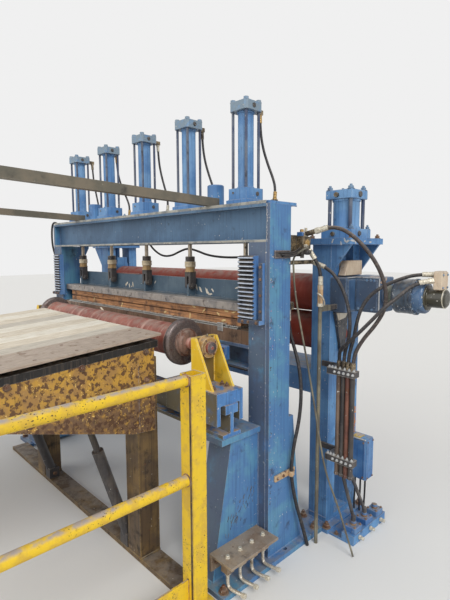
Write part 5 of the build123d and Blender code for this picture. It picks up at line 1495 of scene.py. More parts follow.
@dataclass(frozen=True)
class PassRoll:
    """Turned flanges, bearings and bolts of the pass roll."""

    axis_y: float = -0.322
    axis_z: float = 1.140
    half_length: float = 0.788
    flange_thick: float = 0.042
    flange_radius: float = 0.125
    hub_radius: float = 0.075
    hub_length: float = 0.034
    journal_radius: float = 0.030
    bearing_x: float = 0.982
    bearing_length: float = 0.038
    bearing_radius: float = 0.052
    journal_end: float = 1.037
    saddle_top: float = 0.948

    def around(self, radius: float, count: int, start: float = 0.0) -> list[tuple[float, float]]:
        """Give evenly spaced points on a circle about the roll's axis.

        Args:
            radius: Radius of the circle.
            count: Number of points.
            start: Turn of the first one, in radians.

        Returns:
            Y and Z of each point.
        """
        turns = (start + math.tau * step / count for step in range(count))
        return [(self.axis_y + radius * math.cos(turn), self.axis_z + radius * math.sin(turn)) for turn in turns]

    def flanges(self) -> None:
        """Turn the flanges and their stepped hubs."""
        piece = Piece(FLANGE_STEEL, HUB_RUST, twin=True, seed=31)
        at = (self.half_length, self.axis_y, self.axis_z)
        rim, hub, bore = self.flange_radius, self.hub_radius, self.journal_radius
        piece.turned(
            ((0.0, bore), (0.0, rim - 0.010), (0.010, rim), (self.flange_thick - 0.012, rim),
            (self.flange_thick - 0.003, rim - 0.006), (self.flange_thick, rim - 0.018), (self.flange_thick, bore)),
            at, ALONG_X, 72, ring=True, cut=0.002)
        piece.wear(HUB_RUST)
        outer = self.flange_thick + self.hub_length
        piece.turned(
            ((self.flange_thick - 0.001, bore), (self.flange_thick - 0.001, hub), (self.flange_thick + 0.012, hub),
            (self.flange_thick + 0.014, hub - 0.008), (outer - 0.008, hub - 0.010), (outer, hub - 0.018),
            (outer, bore)), at, ALONG_X, 56, ring=True, cut=0.0015)
        piece.close("turned_roll_flanges", "flange_steel", "pass_roll_flanges", body=Body.PASS_ROLL)

    def shaft_ends(self) -> None:
        """Face the roll's journal ends."""
        piece = Piece(FLANGE_STEEL, ROLL_BRICK, twin=True, seed=33)
        at = (self.journal_end - 0.001, self.axis_y, self.axis_z)
        piece.turned(((0, 0), (0, 0.029), (0.003, 0.0275), (0.003, 0)), at, ALONG_X, cut=0.0008)
        piece.wear(ROLL_BRICK).turned(((0, 0), (0, 0.011), (0.0045, 0.009), (0.0045, 0)), at, ALONG_X, 24)
        piece.close("roll_shaft_ends", "flange_steel", body=Body.PASS_ROLL)

    def bearings(self) -> None:
        """Turn the bearings' covers and bolt the brackets to the saddles."""
        piece = Piece(BEARING_TAN, RUSTY_BOLTS, BRACKET_YELLOW, FITTING_STEEL, twin=True, seed=35)
        at = (self.bearing_x, self.axis_y, self.axis_z)
        rim, bore = self.bearing_radius + 0.0012, self.journal_radius + 0.0005
        piece.turned(
            ((0, bore), (0, rim + 0.006), (0.008, rim + 0.006), (0.010, rim), (self.bearing_length - 0.004, rim),
            (self.bearing_length + 0.001, rim - 0.005), (self.bearing_length + 0.001, bore + 0.009),
            (self.bearing_length - 0.001, bore + 0.007), (self.bearing_length - 0.001, bore)), at, ALONG_X, 56,
            ring=True, cut=0.001)
        piece.wear(RUSTY_BOLTS)
        for y, z in self.around(0.045, 4, 0.6):
            piece.bolt((self.bearing_x + self.bearing_length, y, z), ALONG_X, 0.010, 0.005, 0.0)
        for x, y in product((1.06, 1.095), (self.axis_y - 0.045, self.axis_y + 0.045)):
            piece.bolt((x, y, self.saddle_top), UP, 0.019, 0.011, 0.003, 0.008)
        piece.wear(BRACKET_YELLOW)
        for side in (-1, 1):
            y = self.axis_y + side * 0.074
            piece.weld((self.bearing_x, y, self.saddle_top), (1.118, y, self.saddle_top))
            piece.weld((0.984, y - side * 0.013, 0.955), (0.984, y - side * 0.013, 1.185), 0.007)
        piece.wear(FITTING_STEEL)
        foot, collar, tip = ((1.002, self.axis_y, self.axis_z + rim + height) for height in (0.0, 0.012, 0.019))
        piece.rod(foot, collar, 0.009, 6)
        piece.rod(collar, tip, 0.006, 12, tip=0.003)
        piece.close("roll_bearings", "safety_yellow")

    def build(self) -> None:
        """Build the roll's turned parts and bolts."""
        self.flanges()
        self.shaft_ends()
        self.bearings()


@dataclass(frozen=True)
class FeedTable:
    """Planks, bolts, welds and edge strips of the sloping table."""

    far_x: float = -0.620
    plank_x: float = 0.600
    near_x: float = 0.838
    end_y: float = -0.486
    end_z: float = 1.212
    length: float = 1.414
    slope: float = 3.79
    thick: float = 0.040
    planks: int = 9
    cross_y: tuple[float, ...] = (-0.551, -0.878, -1.2055, -1.533, -1.860)
    side_outer: tuple[float, float] = (-0.590, 0.808)
    side_inner: tuple[float, float] = (-0.570, 0.788)
    posts_x: tuple[tuple[float, float], ...] = ((0.668, 0.788), (-0.570, -0.450))
    posts: tuple[Point, ...] = ((-0.606, -0.486, 0.027), (-1.820, -1.700, 0.007))
    struts_x: tuple[float, float] = (-0.402, 0.620)
    side_bolts: tuple[tuple[float, float], ...] = (
        (-0.56, 1.12), (-0.56, 0.98), (-0.90, 1.10), (-1.22, 1.08), (-1.54, 1.05), (-1.85, 1.03))
    screws: int = 8

    def height(self, y: float, below: float = 0.0) -> float:
        """Give the deck's height at Y, some way below its top."""
        return self.end_z + (y - self.end_y) * math.tan(math.radians(self.slope)) - below

    def shear(self) -> Matrix:
        """Give the shear that lays a level plate along the deck's slope."""
        shear = Matrix.Identity(4)
        shear[2][1] = math.tan(math.radians(self.slope))
        return shear

    def deck(self) -> None:
        """Lay the planks side by side, each a little off its neighbour."""
        piece = Piece(DECK_WOOD, DECK_PALE, DECK_GREY, seed=41)
        width = (self.plank_x - self.far_x) / self.planks
        middle_y = self.end_y - self.length / 2
        finishes = (DECK_WOOD, DECK_PALE, DECK_WOOD, DECK_GREY, DECK_PALE, DECK_WOOD, DECK_PALE, DECK_WOOD, DECK_GREY)
        for number in range(self.planks):
            piece.wear(finishes[number])
            x0 = self.far_x + number * width + 0.0015
            top = self.height(middle_y) - piece.chance.uniform(0.0, 0.003)
            front = self.end_y - (piece.chance.uniform(0.0, 0.008) if number else 0.0)
            rear = self.end_y - self.length + (piece.chance.uniform(0.0, 0.008) if number != 4 else 0.0)
            piece.block((x0, rear, top - self.thick + 0.001), (x0 + width - 0.003, front, top), 0.003, self.shear())
        piece.close("deck_planks", "deck_wood", "table_deck", angle=25)

    def side_parts(self) -> None:
        """Add the black strips of painted shadow under the deck's edges, the side deck's rim and screws, and the side
        plates' welds.
        """
        piece = Piece(DECK_STEEL, RUSTY_BOLTS, TABLE_YELLOW, SHADE_BLACK, seed=43)
        shear = self.shear()
        middle_y = self.end_y - self.length / 2
        top = self.height(middle_y)
        rear, front = self.end_y - self.length, self.end_y
        # Black strips under the deck's edges: painted shadow.
        piece.wear(SHADE_BLACK)
        under = top - self.thick
        for x0, x1 in ((0.700, 0.8098), (-0.5918, -0.500)):
            piece.block((x0, rear + 0.002, under - 0.034), (x1, front - 0.002, under + 0.001), 0.001, shear)
        piece.wear(DECK_STEEL).block(
            (self.plank_x - 0.006, rear, top - 0.001), (self.plank_x + 0.010, front, top + 0.0018), 0.001, shear)
        piece.wear(RUSTY_BOLTS)
        for number in range(self.screws):
            y = front - 0.06 - number * (self.length - 0.12) / (self.screws - 1)
            for x in (self.plank_x + 0.04, self.near_x - 0.04):
                at = Vector((x, y, self.height(y)))
                piece.rod(at - UP * 0.002, at + UP * 0.0014, 0.017, 14, bevel=0.0008)
        piece.wear(TABLE_YELLOW)
        under = self.thick + 0.080
        (far, near), (far_inner, near_inner) = self.side_outer, self.side_inner
        for cross, side in product(self.cross_y, (-0.040, 0.040)):
            y, z = cross + side, self.height(cross + side)
            for x in (near_inner, far_inner):
                piece.weld((x, y, z - self.thick), (x, y, z - under), 0.007)
        piece.weld((near, -0.606, self.height(-0.606, 0.12)), (near, -0.606, 0.73), 0.007)
        piece.wear(RUSTY_BOLTS)
        for y, z in self.side_bolts:
            piece.bolt((near, y, z), ALONG_X, 0.022, 0.011, 0.003, 0.006)
            piece.bolt((far, y, z), -ALONG_X, 0.022, 0.011, 0.003, 0.006)
        piece.close("table_side_parts", "deck_steel")

    def post_parts(self) -> None:
        """Add the posts' welds and the struts' pins."""
        piece = Piece(POST_BROWN, RUSTY_BOLTS, seed=45)
        for (x0, x1), (y0, y1, low) in product(self.posts_x, self.posts):
            ring = ((x0, y0, low), (x1, y0, low), (x1, y1, low), (x0, y1, low), (x0, y0, low))
            for first, last in zip(ring, ring[1:]):
                piece.weld(first, last, 0.010)
        piece.wear(RUSTY_BOLTS)
        for x in self.struts_x:
            piece.rod((x - 0.050, -0.571, 0.060), (x + 0.050, -0.571, 0.060), 0.024, 20, bevel=0.002)
            piece.rod((x - 0.030, -0.878, 1.035), (x + 0.030, -0.878, 1.035), 0.018, 16, bevel=0.002)
        piece.close("table_post_parts", "post_brown")

    def build(self) -> None:
        """Build the table's planks and small parts."""
        self.deck()
        self.side_parts()
        self.post_parts()


@dataclass(frozen=True)
class GuardRail:
    """Welds, seams, anchor bolts and post rims of the guard rail."""

    axis_x: float = 1.185
    posts_y: tuple[float, float] = (-0.570, -2.010)
    half_post: float = 0.040
    top: float = 1.090
    pipe_radius: float = 0.025
    pipes_z: tuple[float, float] = (1.065, 0.612)
    toe: tuple[float, float] = (0.020, 0.140)
    foot_top: float = 0.012
    anchor_offset: float = 0.054

    def build(self) -> None:
        """Build the rail's small parts as one piece."""
        piece = Piece(SAFETY_YELLOW, RUSTY_BOLTS, RAIL_BARE, WELD_RUST, SEAM_DARK, seed=51)
        axis, half, foot = self.axis_x, self.half_post, self.foot_top
        around = ((-1, -1), (1, -1), (1, 1), (-1, 1))
        for y in self.posts_y:
            piece.wear(SAFETY_YELLOW)
            inward = -1 if y > -1 else 1
            for dx, dy in around:
                piece.weld((axis + dx * half, y + dy * half, foot), (axis - dy * half, y + dx * half, foot), 0.009)
            piece.wear(WELD_RUST)
            for z in self.pipes_z:
                piece.ring_weld((axis, y + inward * (half + 0.001), z), ALONG_Y, self.pipe_radius + 0.001, 0.009)
            toe_low, toe_high = self.toe
            piece.weld((axis, y + inward * half, toe_low), (axis, y + inward * half, toe_high), 0.012)
            piece.wear(SEAM_DARK)
            for side in (-1, 1):
                face = y + side * half
                piece.block((axis + 0.021, face - 0.0008, foot), (axis + 0.035, face + 0.0008, self.top - 0.003))
            piece.wear(RAIL_BARE)
            rim, z = half - 0.0025, self.top - 0.001
            for dx, dy in around:
                piece.weld((axis + dx * rim, y + dy * rim, z), (axis - dy * rim, y + dx * rim, z), 0.005)
            piece.wear(RUSTY_BOLTS)
            for side in (-1, 1):
                piece.bolt((axis + side * self.anchor_offset, y, foot), UP, 0.019, 0.010, 0.0025, 0.012)
        piece.close("guard_rail_parts", "safety_yellow")


@dataclass(frozen=True)
class PinchStand:
    """Pinch cylinders, the housings' welds and bolts, the yokes' blocks and the rolls' end rings."""

    cylinder_x: float = 1.272
    axis_y: float = 0.500
    plate_bottom: float = 1.653
    plate_top: float = 1.687
    base_top: float = 1.739
    barrel_top: float = 1.905
    cap_top: float = 1.955
    half_base: float = 0.100
    half_cap: float = 0.084
    half_bore: float = 0.060
    tie_offset: float = 0.066
    tie_dia: float = 0.0205
    barrel_radius: float = 0.073
    housing_outer: float = 1.280
    plate_outer: float = 1.409

    def cylinders(self) -> None:
        """Build the pinch cylinders: base, barrel, cap, tie rods, nuts and ports."""
        piece = Piece(CYLINDER_BLUE, TIE_DARK, BOLT_BLUE, DARK_STEEL, FITTING_STEEL, twin=True, seed=61)
        x, y, base, cap, bore = self.cylinder_x, self.axis_y, self.half_base, self.half_cap, self.half_bore
        low, high, top = self.plate_top, self.base_top, self.barrel_top
        piece.block((x - base, y - base, low), (x + base, y - bore, high), 0.003)
        piece.block((x - base, y + bore, low), (x + base, y + base, high), 0.003)
        piece.block((x - base, y - bore, low), (x - bore, y + bore, high), 0.0)
        piece.block((x + bore, y - bore, low), (x + base, y + bore, high), 0.0)
        barrel, band = self.barrel_radius, self.barrel_radius + 0.005
        piece.turned(
            ((high - 0.001, bore), (high - 0.001, band), (high + 0.014, band), (high + 0.016, barrel),
            (top - 0.014, barrel), (top - 0.012, band), (top + 0.001, band), (top + 0.001, bore)), (x, y, 0), UP, 64,
            ring=True, cut=0.0015)
        piece.block((x - cap, y - cap, top), (x + cap, y + cap, self.cap_top), 0.003)
        for dx, dy in product((-1, 1), repeat=2):
            at = Vector((x + dx * self.tie_offset, y + dy * self.tie_offset, high))
            piece.wear(TIE_DARK).rod(at, (at.x, at.y, top), self.tie_dia, 20)
            piece.wear(BOLT_BLUE).bolt((at.x, at.y, self.cap_top), UP, 0.028, 0.014, 0.003, 0.010)
            piece.bolt((x + dx * (base - 0.014), y + dy * (base - 0.014), high), UP, 0.020, 0.012, 0.003, 0.010)
        piece.wear(DARK_STEEL).rod((x + cap - 0.002, y, 1.930), (x + cap + 0.008, y, 1.930), 0.034, 6, bevel=0.002)
        piece.rod((x + base - 0.002, y - 0.03, 1.713), (x + base + 0.008, y - 0.03, 1.713), 0.030, 6, bevel=0.002)
        piece.wear(FITTING_STEEL).rod((x - 0.02, y - base - 0.012, 1.712), (x - 0.02, y - base, 1.712), 0.026, 6)
        piece.rod((x - 0.01, y - cap - 0.014, 1.928), (x - 0.01, y - cap, 1.928), 0.028, 6)
        piece.close("pinch_tie_cylinders", "cylinder_blue", "pinch_cylinders")

    def housings(self) -> None:
        """Weld the housings' gussets, bare the top plates' rims and bolt them."""
        piece = Piece(STAND_BLUE, BARE_STEEL, RUSTY_BOLTS, twin=True, seed=63)
        x0, low = self.housing_outer, self.plate_bottom
        for y in (0.345, 0.359, 0.641, 0.655):
            piece.weld((x0, y, low - 0.160), (x0, y, low), 0.006)
            piece.weld((x0, y, low), (self.plate_outer - 0.012, y, low), 0.006)
        for y0, y1 in ((0.345, 0.427), (0.573, 0.655)):
            piece.weld((x0, y0, 0.0255), (x0, y1, 0.0255), 0.011)
            piece.weld((1.158, y0, 0.060), (x0, y0, 0.060), 0.007)
        piece.weld((1.158, 0.345, 0.026), (x0, 0.345, 0.026), 0.011)
        piece.wear(BARE_STEEL)
        for y, z, size in (
                (0.345, 1.672, 0.05), (0.372, 1.664, 0.035), (0.40, 1.676, 0.04), (0.47, 1.670, 0.03),
                (0.53, 1.665, 0.04)):
            piece.flake((self.plate_outer - 0.0003, y, z), ALONG_X, size, 0.0014, 0.35)
        for x, z, size in ((1.392, 1.668, 0.035), (1.375, 1.676, 0.03), (1.352, 1.660, 0.03), (1.30, 1.671, 0.035)):
            piece.flake((x, 0.3236, z), -ALONG_Y, size, 0.0014, 0.4)
        piece.wear(RUSTY_BOLTS)
        for y, x in product((0.36, 0.64), (1.142, 1.392)):
            piece.bolt((x, y, self.plate_top), UP, 0.024, 0.013, 0.003, 0.008)
        piece.close("housing_parts", "frame_blue")

    def yokes(self) -> None:
        """Build the yokes' blocks that overhang the housings, as bare worn plate."""
        piece = Piece(YOKE_TAN, twin=True, seed=65)
        piece.prism(
            ((1.286, 0.405, 1.480), (1.286, 0.590, 1.480), (1.286, 0.590, 1.564), (1.286, 0.445, 1.564)),
            (0.044, 0, 0), 0.003)
        piece.block((1.270, 0.440, 1.480), (1.288, 0.560, 1.562), 0.0)
        piece.close("yoke_blocks", "post_brown", body=Body.CHOCKS)

    def roll_ends(self) -> None:
        """Ring the pinch rolls' ends, each on its own body."""
        for name, body, z in (
                ("upper_roll_rings", Body.UPPER_ROLL, 1.368), ("lower_roll_rings", Body.LOWER_ROLL, 1.136)):
            piece = Piece(FLANGE_STEEL, ROLL_RED, twin=True, seed=67)
            at = (1.126, self.axis_y, z)
            piece.turned(
                ((0, 0.0455), (0, 0.062), (0.012, 0.062), (0.020, 0.052), (0.020, 0.0455)), at, ALONG_X, ring=True,
                cut=0.001)
            piece.wear(ROLL_RED).turned(
                ((-0.004, 0.085), (-0.004, 0.1135), (0.0015, 0.110), (0.0015, 0.085)), at, ALONG_X, 64, ring=True,
                cut=0.001)
            piece.close(name, "roll_brick", body=body)

    def build(self) -> None:
        """Build every small part of the pinch stand."""
        self.cylinders()
        self.housings()
        self.yokes()
        self.roll_ends()


@dataclass(frozen=True)
class DriveUnit:
    """Gear case, its reducer and tapered guard, and the geared motor on them."""

    case_x: tuple[float, float] = (1.280, 1.384)
    case_y: tuple[float, float] = (0.338, 0.725)
    case_z: tuple[float, float] = (1.284, 1.474)
    reducer_x: float = 1.530
    reducer_y: tuple[float, float] = (0.420, 0.580)
    axis_y: float = 0.500
    axis_z: float = 1.382

    def case(self) -> None:
        """Build the case and its reducer, with covers, bolts, pale top edges that are partly worn and partly painted
        highlight, and a painted highlight up the reducer's corner.
        """
        piece = Piece(CASE_SLATE, BOLT_BLUE, BARE_STEEL, PALE_SCRAP, TAN_WEAR, GUARD_DARK, DARK_STEEL, seed=71)
        (x0, x1), (y0, y1), (z0, z1) = self.case_x, self.case_y, self.case_z
        (r0, r1), rx = self.reducer_y, self.reducer_x
        piece.block((x0, y0, z0), (x1, y1, z1), 0.006)
        piece.block((x1 - 0.001, y0 + 0.010, z0 + 0.010), (x1 + 0.006, y1 - 0.010, z1 - 0.010), 0.003)
        piece.block((x1, r0, z0 + 0.004), (rx, r1, z1 + 0.002), 0.005)
        piece.block((x1 + 0.010, r0 - 0.005, z0 + 0.016), (rx - 0.012, r0 + 0.001, z1 - 0.012))
        piece.wear(BOLT_BLUE)
        for x, z in (
                (1.460, z1 - 0.014), (1.482, z1 - 0.012), (1.502, z1 - 0.014), (1.492, z0 + 0.020),
                (1.412, z0 + 0.020)):
            piece.bolt((x, r0 - 0.005, z), -ALONG_Y, 0.010, 0.005, 0.001)
        for y, z in ((0.640, 1.300), (0.640, 1.455), (0.700, 1.300), (0.700, 1.455)):
            piece.bolt((x1 + 0.006, y, z), ALONG_X, 0.012, 0.006, 0.0015)
        # Pale strips on the case's and reducer's top edges: partly worn steel, partly painted highlight.
        piece.wear(BARE_STEEL).block(
            (x1 - 0.004, y0 + 0.008, z1 - 0.0025), (x1 + 0.0068, y1 - 0.008, z1 + 0.0012), 0.001)
        piece.block((x1 + 0.004, r0 - 0.0012, z1 - 0.0015), (rx + 0.001, r0 + 0.005, z1 + 0.0032), 0.001)
        # Upright strip at the reducer's front corner: a painted highlight.
        piece.block((rx - 0.005, r0 - 0.001, z0 + 0.02), (rx + 0.001, r0 + 0.004, z1 - 0.004), 0.001)
        piece.wear(TAN_WEAR)
        for x, y, size in ((1.50, 0.45, 0.05), (1.47, 0.48, 0.06), (1.50, 0.51, 0.06), (1.44, 0.50, 0.05)):
            piece.flake((x, y, z1 + 0.0025), UP, size, 0.0022, 0.5)
        for y, z, size in ((0.445, 1.452, 0.05), (0.480, 1.462, 0.05), (0.440, 1.425, 0.03)):
            piece.flake((rx + 0.0006, y, z), ALONG_X, size, 0.0022, 0.5)
        piece.wear(GUARD_DARK).prism(
            ((x0, 0.372, z0), (x0, 0.505, z0), (x0, 0.475, 1.040), (x0, 0.440, 1.040)), (0.020, 0, 0), 0.002)
        piece.wear(PALE_SCRAP).prism(
            ((1.3005, 0.378, 1.272), (1.3005, 0.490, 1.262), (1.3005, 0.470, 1.238), (1.3005, 0.400, 1.228)),
            (0.002, 0, 0))
        piece.wear(DARK_STEEL).block((1.308, 0.274, 1.302), (1.328, y0 + 0.002, 1.328))
        piece.close("gear_case", "frame_blue", "drive_case")

    def ring(self, piece: Piece, profile: Profile, cut: float = 0.0015) -> None:
        """Turn one part of the motor about its axis.

        Args:
            piece: Piece that takes it.
            profile: Distance from the reducer and radius of each corner, around the ring.
            cut: Width of the eased corners.
        """
        piece.turned(profile, (self.reducer_x, self.axis_y, self.axis_z), ALONG_X, 64, ring=True, cut=cut)

    def bolt_circle(self, piece: Piece, reach: float, radius: float, count: int, across: float) -> None:
        """Bolt one flange of the motor.

        Args:
            piece: Piece that takes the bolts.
            reach: Distance of the flange's face from the reducer.
            radius: Radius of the bolt circle.
            count: Number of bolts.
            across: Width of their heads.
        """
        for step in range(count):
            turn = math.tau * (step + 0.5) / count
            spot = Vector(
                (self.reducer_x + reach, self.axis_y + radius * math.cos(turn),
                self.axis_z + radius * math.sin(turn)))
            piece.bolt(spot, ALONG_X, across, across * 0.6, 0.0)

    def motor(self) -> None:
        """Turn the motor: flange, neck in a painted sheen, gear barrel, seam ring, rear barrel, slim end and port
        block.
        """
        piece = Piece(
            MOTOR_STEEL, MOTOR_NECK_PAINTED_SHEEN, MOTOR_BLUE, MOTOR_GREASE, BOLT_BLUE, FERRULE_PALE, CASE_SLATE, YOKE_TAN, seed=73)
        piece.wear(CASE_SLATE)
        self.ring(piece, ((-0.001, 0.030), (-0.001, 0.062), (0.010, 0.062), (0.012, 0.030)))
        # Neck in pale grey-green: a painted reflection.
        piece.wear(MOTOR_NECK_PAINTED_SHEEN)
        self.ring(
            piece, ((0.010, 0.030), (0.010, 0.0500), (0.018, 0.0545), (0.030, 0.0515), (0.044, 0.056), (0.058, 0.066),
            (0.066, 0.074), (0.066, 0.030)))
        piece.wear(MOTOR_STEEL)
        self.ring(
            piece, ((0.064, 0.030), (0.064, 0.086), (0.070, 0.0905), (0.082, 0.0905), (0.084, 0.0895),
            (0.136, 0.0895), (0.138, 0.0905), (0.147, 0.0905), (0.149, 0.0895), (0.160, 0.0895), (0.160, 0.030)))
        self.ring(piece, ((0.159, 0.030), (0.159, 0.0935), (0.170, 0.0935), (0.170, 0.030)))
        piece.wear(BOLT_BLUE)
        self.bolt_circle(piece, 0.170, 0.0875, 14, 0.009)
        piece.wear(MOTOR_BLUE)
        self.ring(piece, ((0.169, 0.030), (0.169, 0.0820), (0.210, 0.0820), (0.219, 0.076), (0.219, 0.030)))
        piece.wear(MOTOR_GREASE)
        self.ring(
            piece, ((0.218, 0.020), (0.218, 0.064), (0.226, 0.064), (0.229, 0.0480), (0.304, 0.0480), (0.3135, 0.039),
            (0.3135, 0.020)))
        piece.turned(
            ((0.290, 0), (0.290, 0.024), (0.3138, 0.024), (0.3138, 0)), (self.reducer_x, self.axis_y, self.axis_z),
            ALONG_X, cut=0.001)
        self.bolt_circle(piece, 0.226, 0.057, 4, 0.010)
        piece.wear(FERRULE_PALE)
        self.ring(piece, ((0.302, 0.0440), (0.302, 0.0487), (0.306, 0.0487), (0.306, 0.0440)), 0.0005)
        piece.wear(YOKE_TAN).block((1.790, 0.452, 1.426), (1.832, 0.530, 1.514), 0.004)
        piece.block((1.792, 0.456, 1.512), (1.828, 0.520, 1.518))
        piece.wear(BOLT_BLUE)
        for z, y in product((1.438, 1.500), (0.464, 0.518)):
            piece.bolt((1.832, y, z), ALONG_X, 0.009, 0.005, 0.0)
        piece.close("geared_motor", "cylinder_blue", "drive_motor")

    def build(self) -> None:
        """Build the case and the motor."""
        self.case()
        self.motor()


@dataclass(frozen=True)
class Ferrules:
    """Crimped ends and union nuts of the hoses."""

    def sleeve(self, piece: Piece, tip: Point, towards: Point, dia: float, length: float) -> None:
        """Crimp one sleeve on a hose's end, with a union nut behind it.

        Args:
            piece: Piece that takes it.
            tip: Where the hose starts.
            towards: Next point of the hose's route.
            dia: Diameter of the hose.
            length: Length of the sleeve along the hose.
        """
        tip, way = Vector(tip), (Vector(towards) - Vector(tip)).normalized()
        outer, bore = dia * 0.72, dia * 0.45
        profile = softened(
            ((-0.002, bore), (-0.002, outer), (length * 0.25, outer), (length * 0.30, outer * 0.93),
            (length * 0.36, outer), (length * 0.62, outer), (length * 0.67, outer * 0.93), (length * 0.73, outer),
            (length, outer * 0.96), (length, bore)), 0.0006)
        piece.turned(profile, tip, way, 24, ring=True)
        piece.rod(tip - way * 0.026, tip - way * 0.002, outer * 2.35, 6, bevel=0.0015, spin=0.3)

    def build(self) -> None:
        """Crimp both ends of every hose."""
        piece = Piece(FERRULE_PALE, FITTING_STEEL, FERRULE_BRASS, seed=81)
        for number, hose in enumerate((*HOSES, *CylinderHoses().hoses())):
            first, second = hose.route[0], hose.route[1]
            last, before = hose.route[-1], hose.route[-2]
            small = hose.diameter < 0.016
            piece.wear((FERRULE_PALE, FITTING_STEEL, FERRULE_BRASS)[number % 3 if small else 0])
            self.sleeve(piece, first, second, hose.diameter, 0.030 if small else 0.044)
            if not small and last[2] < 1.05:
                piece.wear(FITTING_STEEL)
            if hose.node != "column_hose":
                self.sleeve(piece, last, before, hose.diameter, 0.030 if small else 0.044)
        piece.close("hose_ferrules", "fitting_steel")


@dataclass(frozen=True)
class PipeBank:
    """Clamped pipes, nuts on their clamp bars, junction box fittings and valve blocks."""

    first_x: float = 1.408
    pitch: float = 0.027
    pipe_y: float = 0.245
    clamps_z: tuple[float, float] = (0.490, 0.970)
    clamp_height: float = 0.030
    clamp_depth: float = 0.044
    clamp_x: tuple[float, float] = (1.346, 1.513)
    pipe_z: tuple[float, float] = (0.428, 0.9995)
    pipe_dia: float = 0.0262
    valve_count: int = 3
    tube_count: int = 4
    tube_x: float = 1.254

    def pipes(self) -> None:
        """Sleeve each pipe in its own colour, end it in a union, and patch the leg behind with copper."""
        piece = Piece(PIPE_BROWN, PIPE_BLACK, PIPE_RUST, FERRULE_PALE, COPPER_PATCH, seed=91)
        y, (low, high) = self.pipe_y, self.pipe_z
        for number, colour in enumerate((PIPE_BROWN, PIPE_BLACK, PIPE_RUST, PIPE_BLACK)):
            x = self.first_x + number * self.pitch
            piece.wear(colour).rod((x, y, low), (x, y, high), self.pipe_dia, 28)
            piece.wear(FERRULE_PALE).rod((x, y, high), (x, y, 1.006), self.pipe_dia, 6, bevel=0.001)
            piece.wear(colour).rod((x, y, 0.415), (x, y, 0.431), 0.030, 6, bevel=0.002)
        piece.wear(COPPER_PATCH)
        for step in range(9):
            at = (1.2804, 0.636 + 0.006 * math.sin(step * 1.9), 0.475 + step * 0.022)
            piece.flake(at, ALONG_X, 0.034, 0.0012, 0.8)
        piece.close("bank_pipes", "dark_steel")

    def clamps(self) -> None:
        """Face the clamp bars, bolt them and paint black shade into their open ends."""
        piece = Piece(CLAMP_STEEL, BARE_STEEL, SHADE_BLACK, seed=93)
        x0, x1 = self.clamp_x
        front = self.pipe_y - self.clamp_depth / 2
        for low in self.clamps_z:
            high = low + self.clamp_height
            piece.wear(CLAMP_STEEL)
            ends = x0 - 0.001, x1 + 0.001
            piece.block((ends[0], front - 0.001, low - 0.002), (ends[1], self.pipe_y - 0.0015, low + 0.0004), 0.0008)
            piece.block((ends[0], front - 0.0012, high - 0.0006), (ends[1], self.pipe_y + 0.023, high + 0.003), 0.001)
            piece.wear(BARE_STEEL)
            for number in range(5):
                x = self.first_x - self.pitch / 2 + number * self.pitch
                piece.bolt((x, front - 0.0005, (low + high) / 2), -ALONG_Y, 0.011, 0.006, 0.001, 0.004)
            for way in (0.012, 0.030, 0.049, 0.076, 0.103, 0.130, 0.157):
                piece.bolt((x0 + way, front + 0.009, high + 0.003), UP, 0.012, 0.006, 0.001, 0.005)
            # Black in the clamp bars' open ends: painted shade.
            piece.wear(SHADE_BLACK).block(
                (x0 - 0.0015, front + 0.006, low + 0.005), (x0 + 0.001, front + 0.036, high - 0.005), 0.0005)
        piece.close("pipe_clamps", "dark_steel")

    def junction(self) -> None:
        """Fit the junction box's lid, screws, glands and its bare hinge piece."""
        piece = Piece(JUNCTION_BLUE, RUSTY_BOLTS, SAFETY_YELLOW, CABLE_BLACK, BARE_STEEL, seed=95)
        piece.block((1.397, 0.577, 0.254), (1.4035, 0.653, 0.496), 0.003)
        piece.block((1.284, 0.568, 0.258), (1.394, 0.5735, 0.492), 0.003)
        piece.wear(RUSTY_BOLTS)
        for y, z in product((0.586, 0.644), (0.264, 0.486)):
            piece.bolt((1.4035, y, z), ALONG_X, 0.008, 0.004, 0.001)
        for x, z in product((1.294, 1.384), (0.268, 0.482)):
            piece.bolt((x, 0.568, z), -ALONG_Y, 0.008, 0.004, 0.001)
        piece.wear(SAFETY_YELLOW).block((1.300, 0.580, 0.4995), (1.352, 0.640, 0.505), 0.0015)
        piece.wear(BARE_STEEL).block((1.286, 0.567, 0.496), (1.396, 0.577, 0.5025), 0.001)
        piece.wear(CABLE_BLACK)
        for x in (1.310, 1.345, 1.376):
            piece.rod((x, 0.615, 0.250), (x, 0.615, 0.232), 0.024, 6, bevel=0.002)
            piece.pipe(((x, 0.615, 0.234), (x, 0.615, 0.15), (x - 0.003, 0.612, 0.08), (x, 0.61, 0.026)), 0.011)
        piece.close("junction_box_parts", "saddle_blue")

    def valves(self) -> None:
        """Cap and bolt the valve blocks on the floor and pipe them to the bank."""
        piece = Piece(VALVE_BLUE, CAP_BROWN, FERRULE_PALE, RUSTY_BOLTS, PIPE_RUST, seed=97)
        for number in range(self.valve_count):
            y = 0.310 + 0.360 * (number + 0.5) / self.valve_count
            piece.wear(VALVE_BLUE).block((1.411, y - 0.038, 0.0515), (1.479, y + 0.038, 0.087), 0.003)
            piece.wear(CAP_BROWN).turned(
                ((-0.002, 0), (-0.002, 0.017), (0.008, 0.0172), (0.010, 0.0150), (0.022, 0.0150), (0.0255, 0.0125),
                (0.0255, 0)), (1.445, y, 0.086), UP, 28, cut=0.001)
            piece.wear(RUSTY_BOLTS)
            for x, dy in product((1.419, 1.471), (-0.028, 0.028)):
                piece.bolt((x, y + dy, 0.087), UP, 0.010, 0.006, 0.001)
            piece.wear(FERRULE_PALE).rod((1.482, y, 0.030), (1.494, y, 0.030), 0.026, 6, bevel=0.002)
            piece.rod((1.494, y, 0.030), (1.512, y, 0.030), 0.020, 20, bevel=0.002)
        piece.wear(RUSTY_BOLTS)
        for y in (0.325, 0.49, 0.655):
            piece.bolt((1.365, y, 0.012), UP, 0.018, 0.010, 0.003, 0.008)
        piece.close("floor_valve_parts", "saddle_blue")

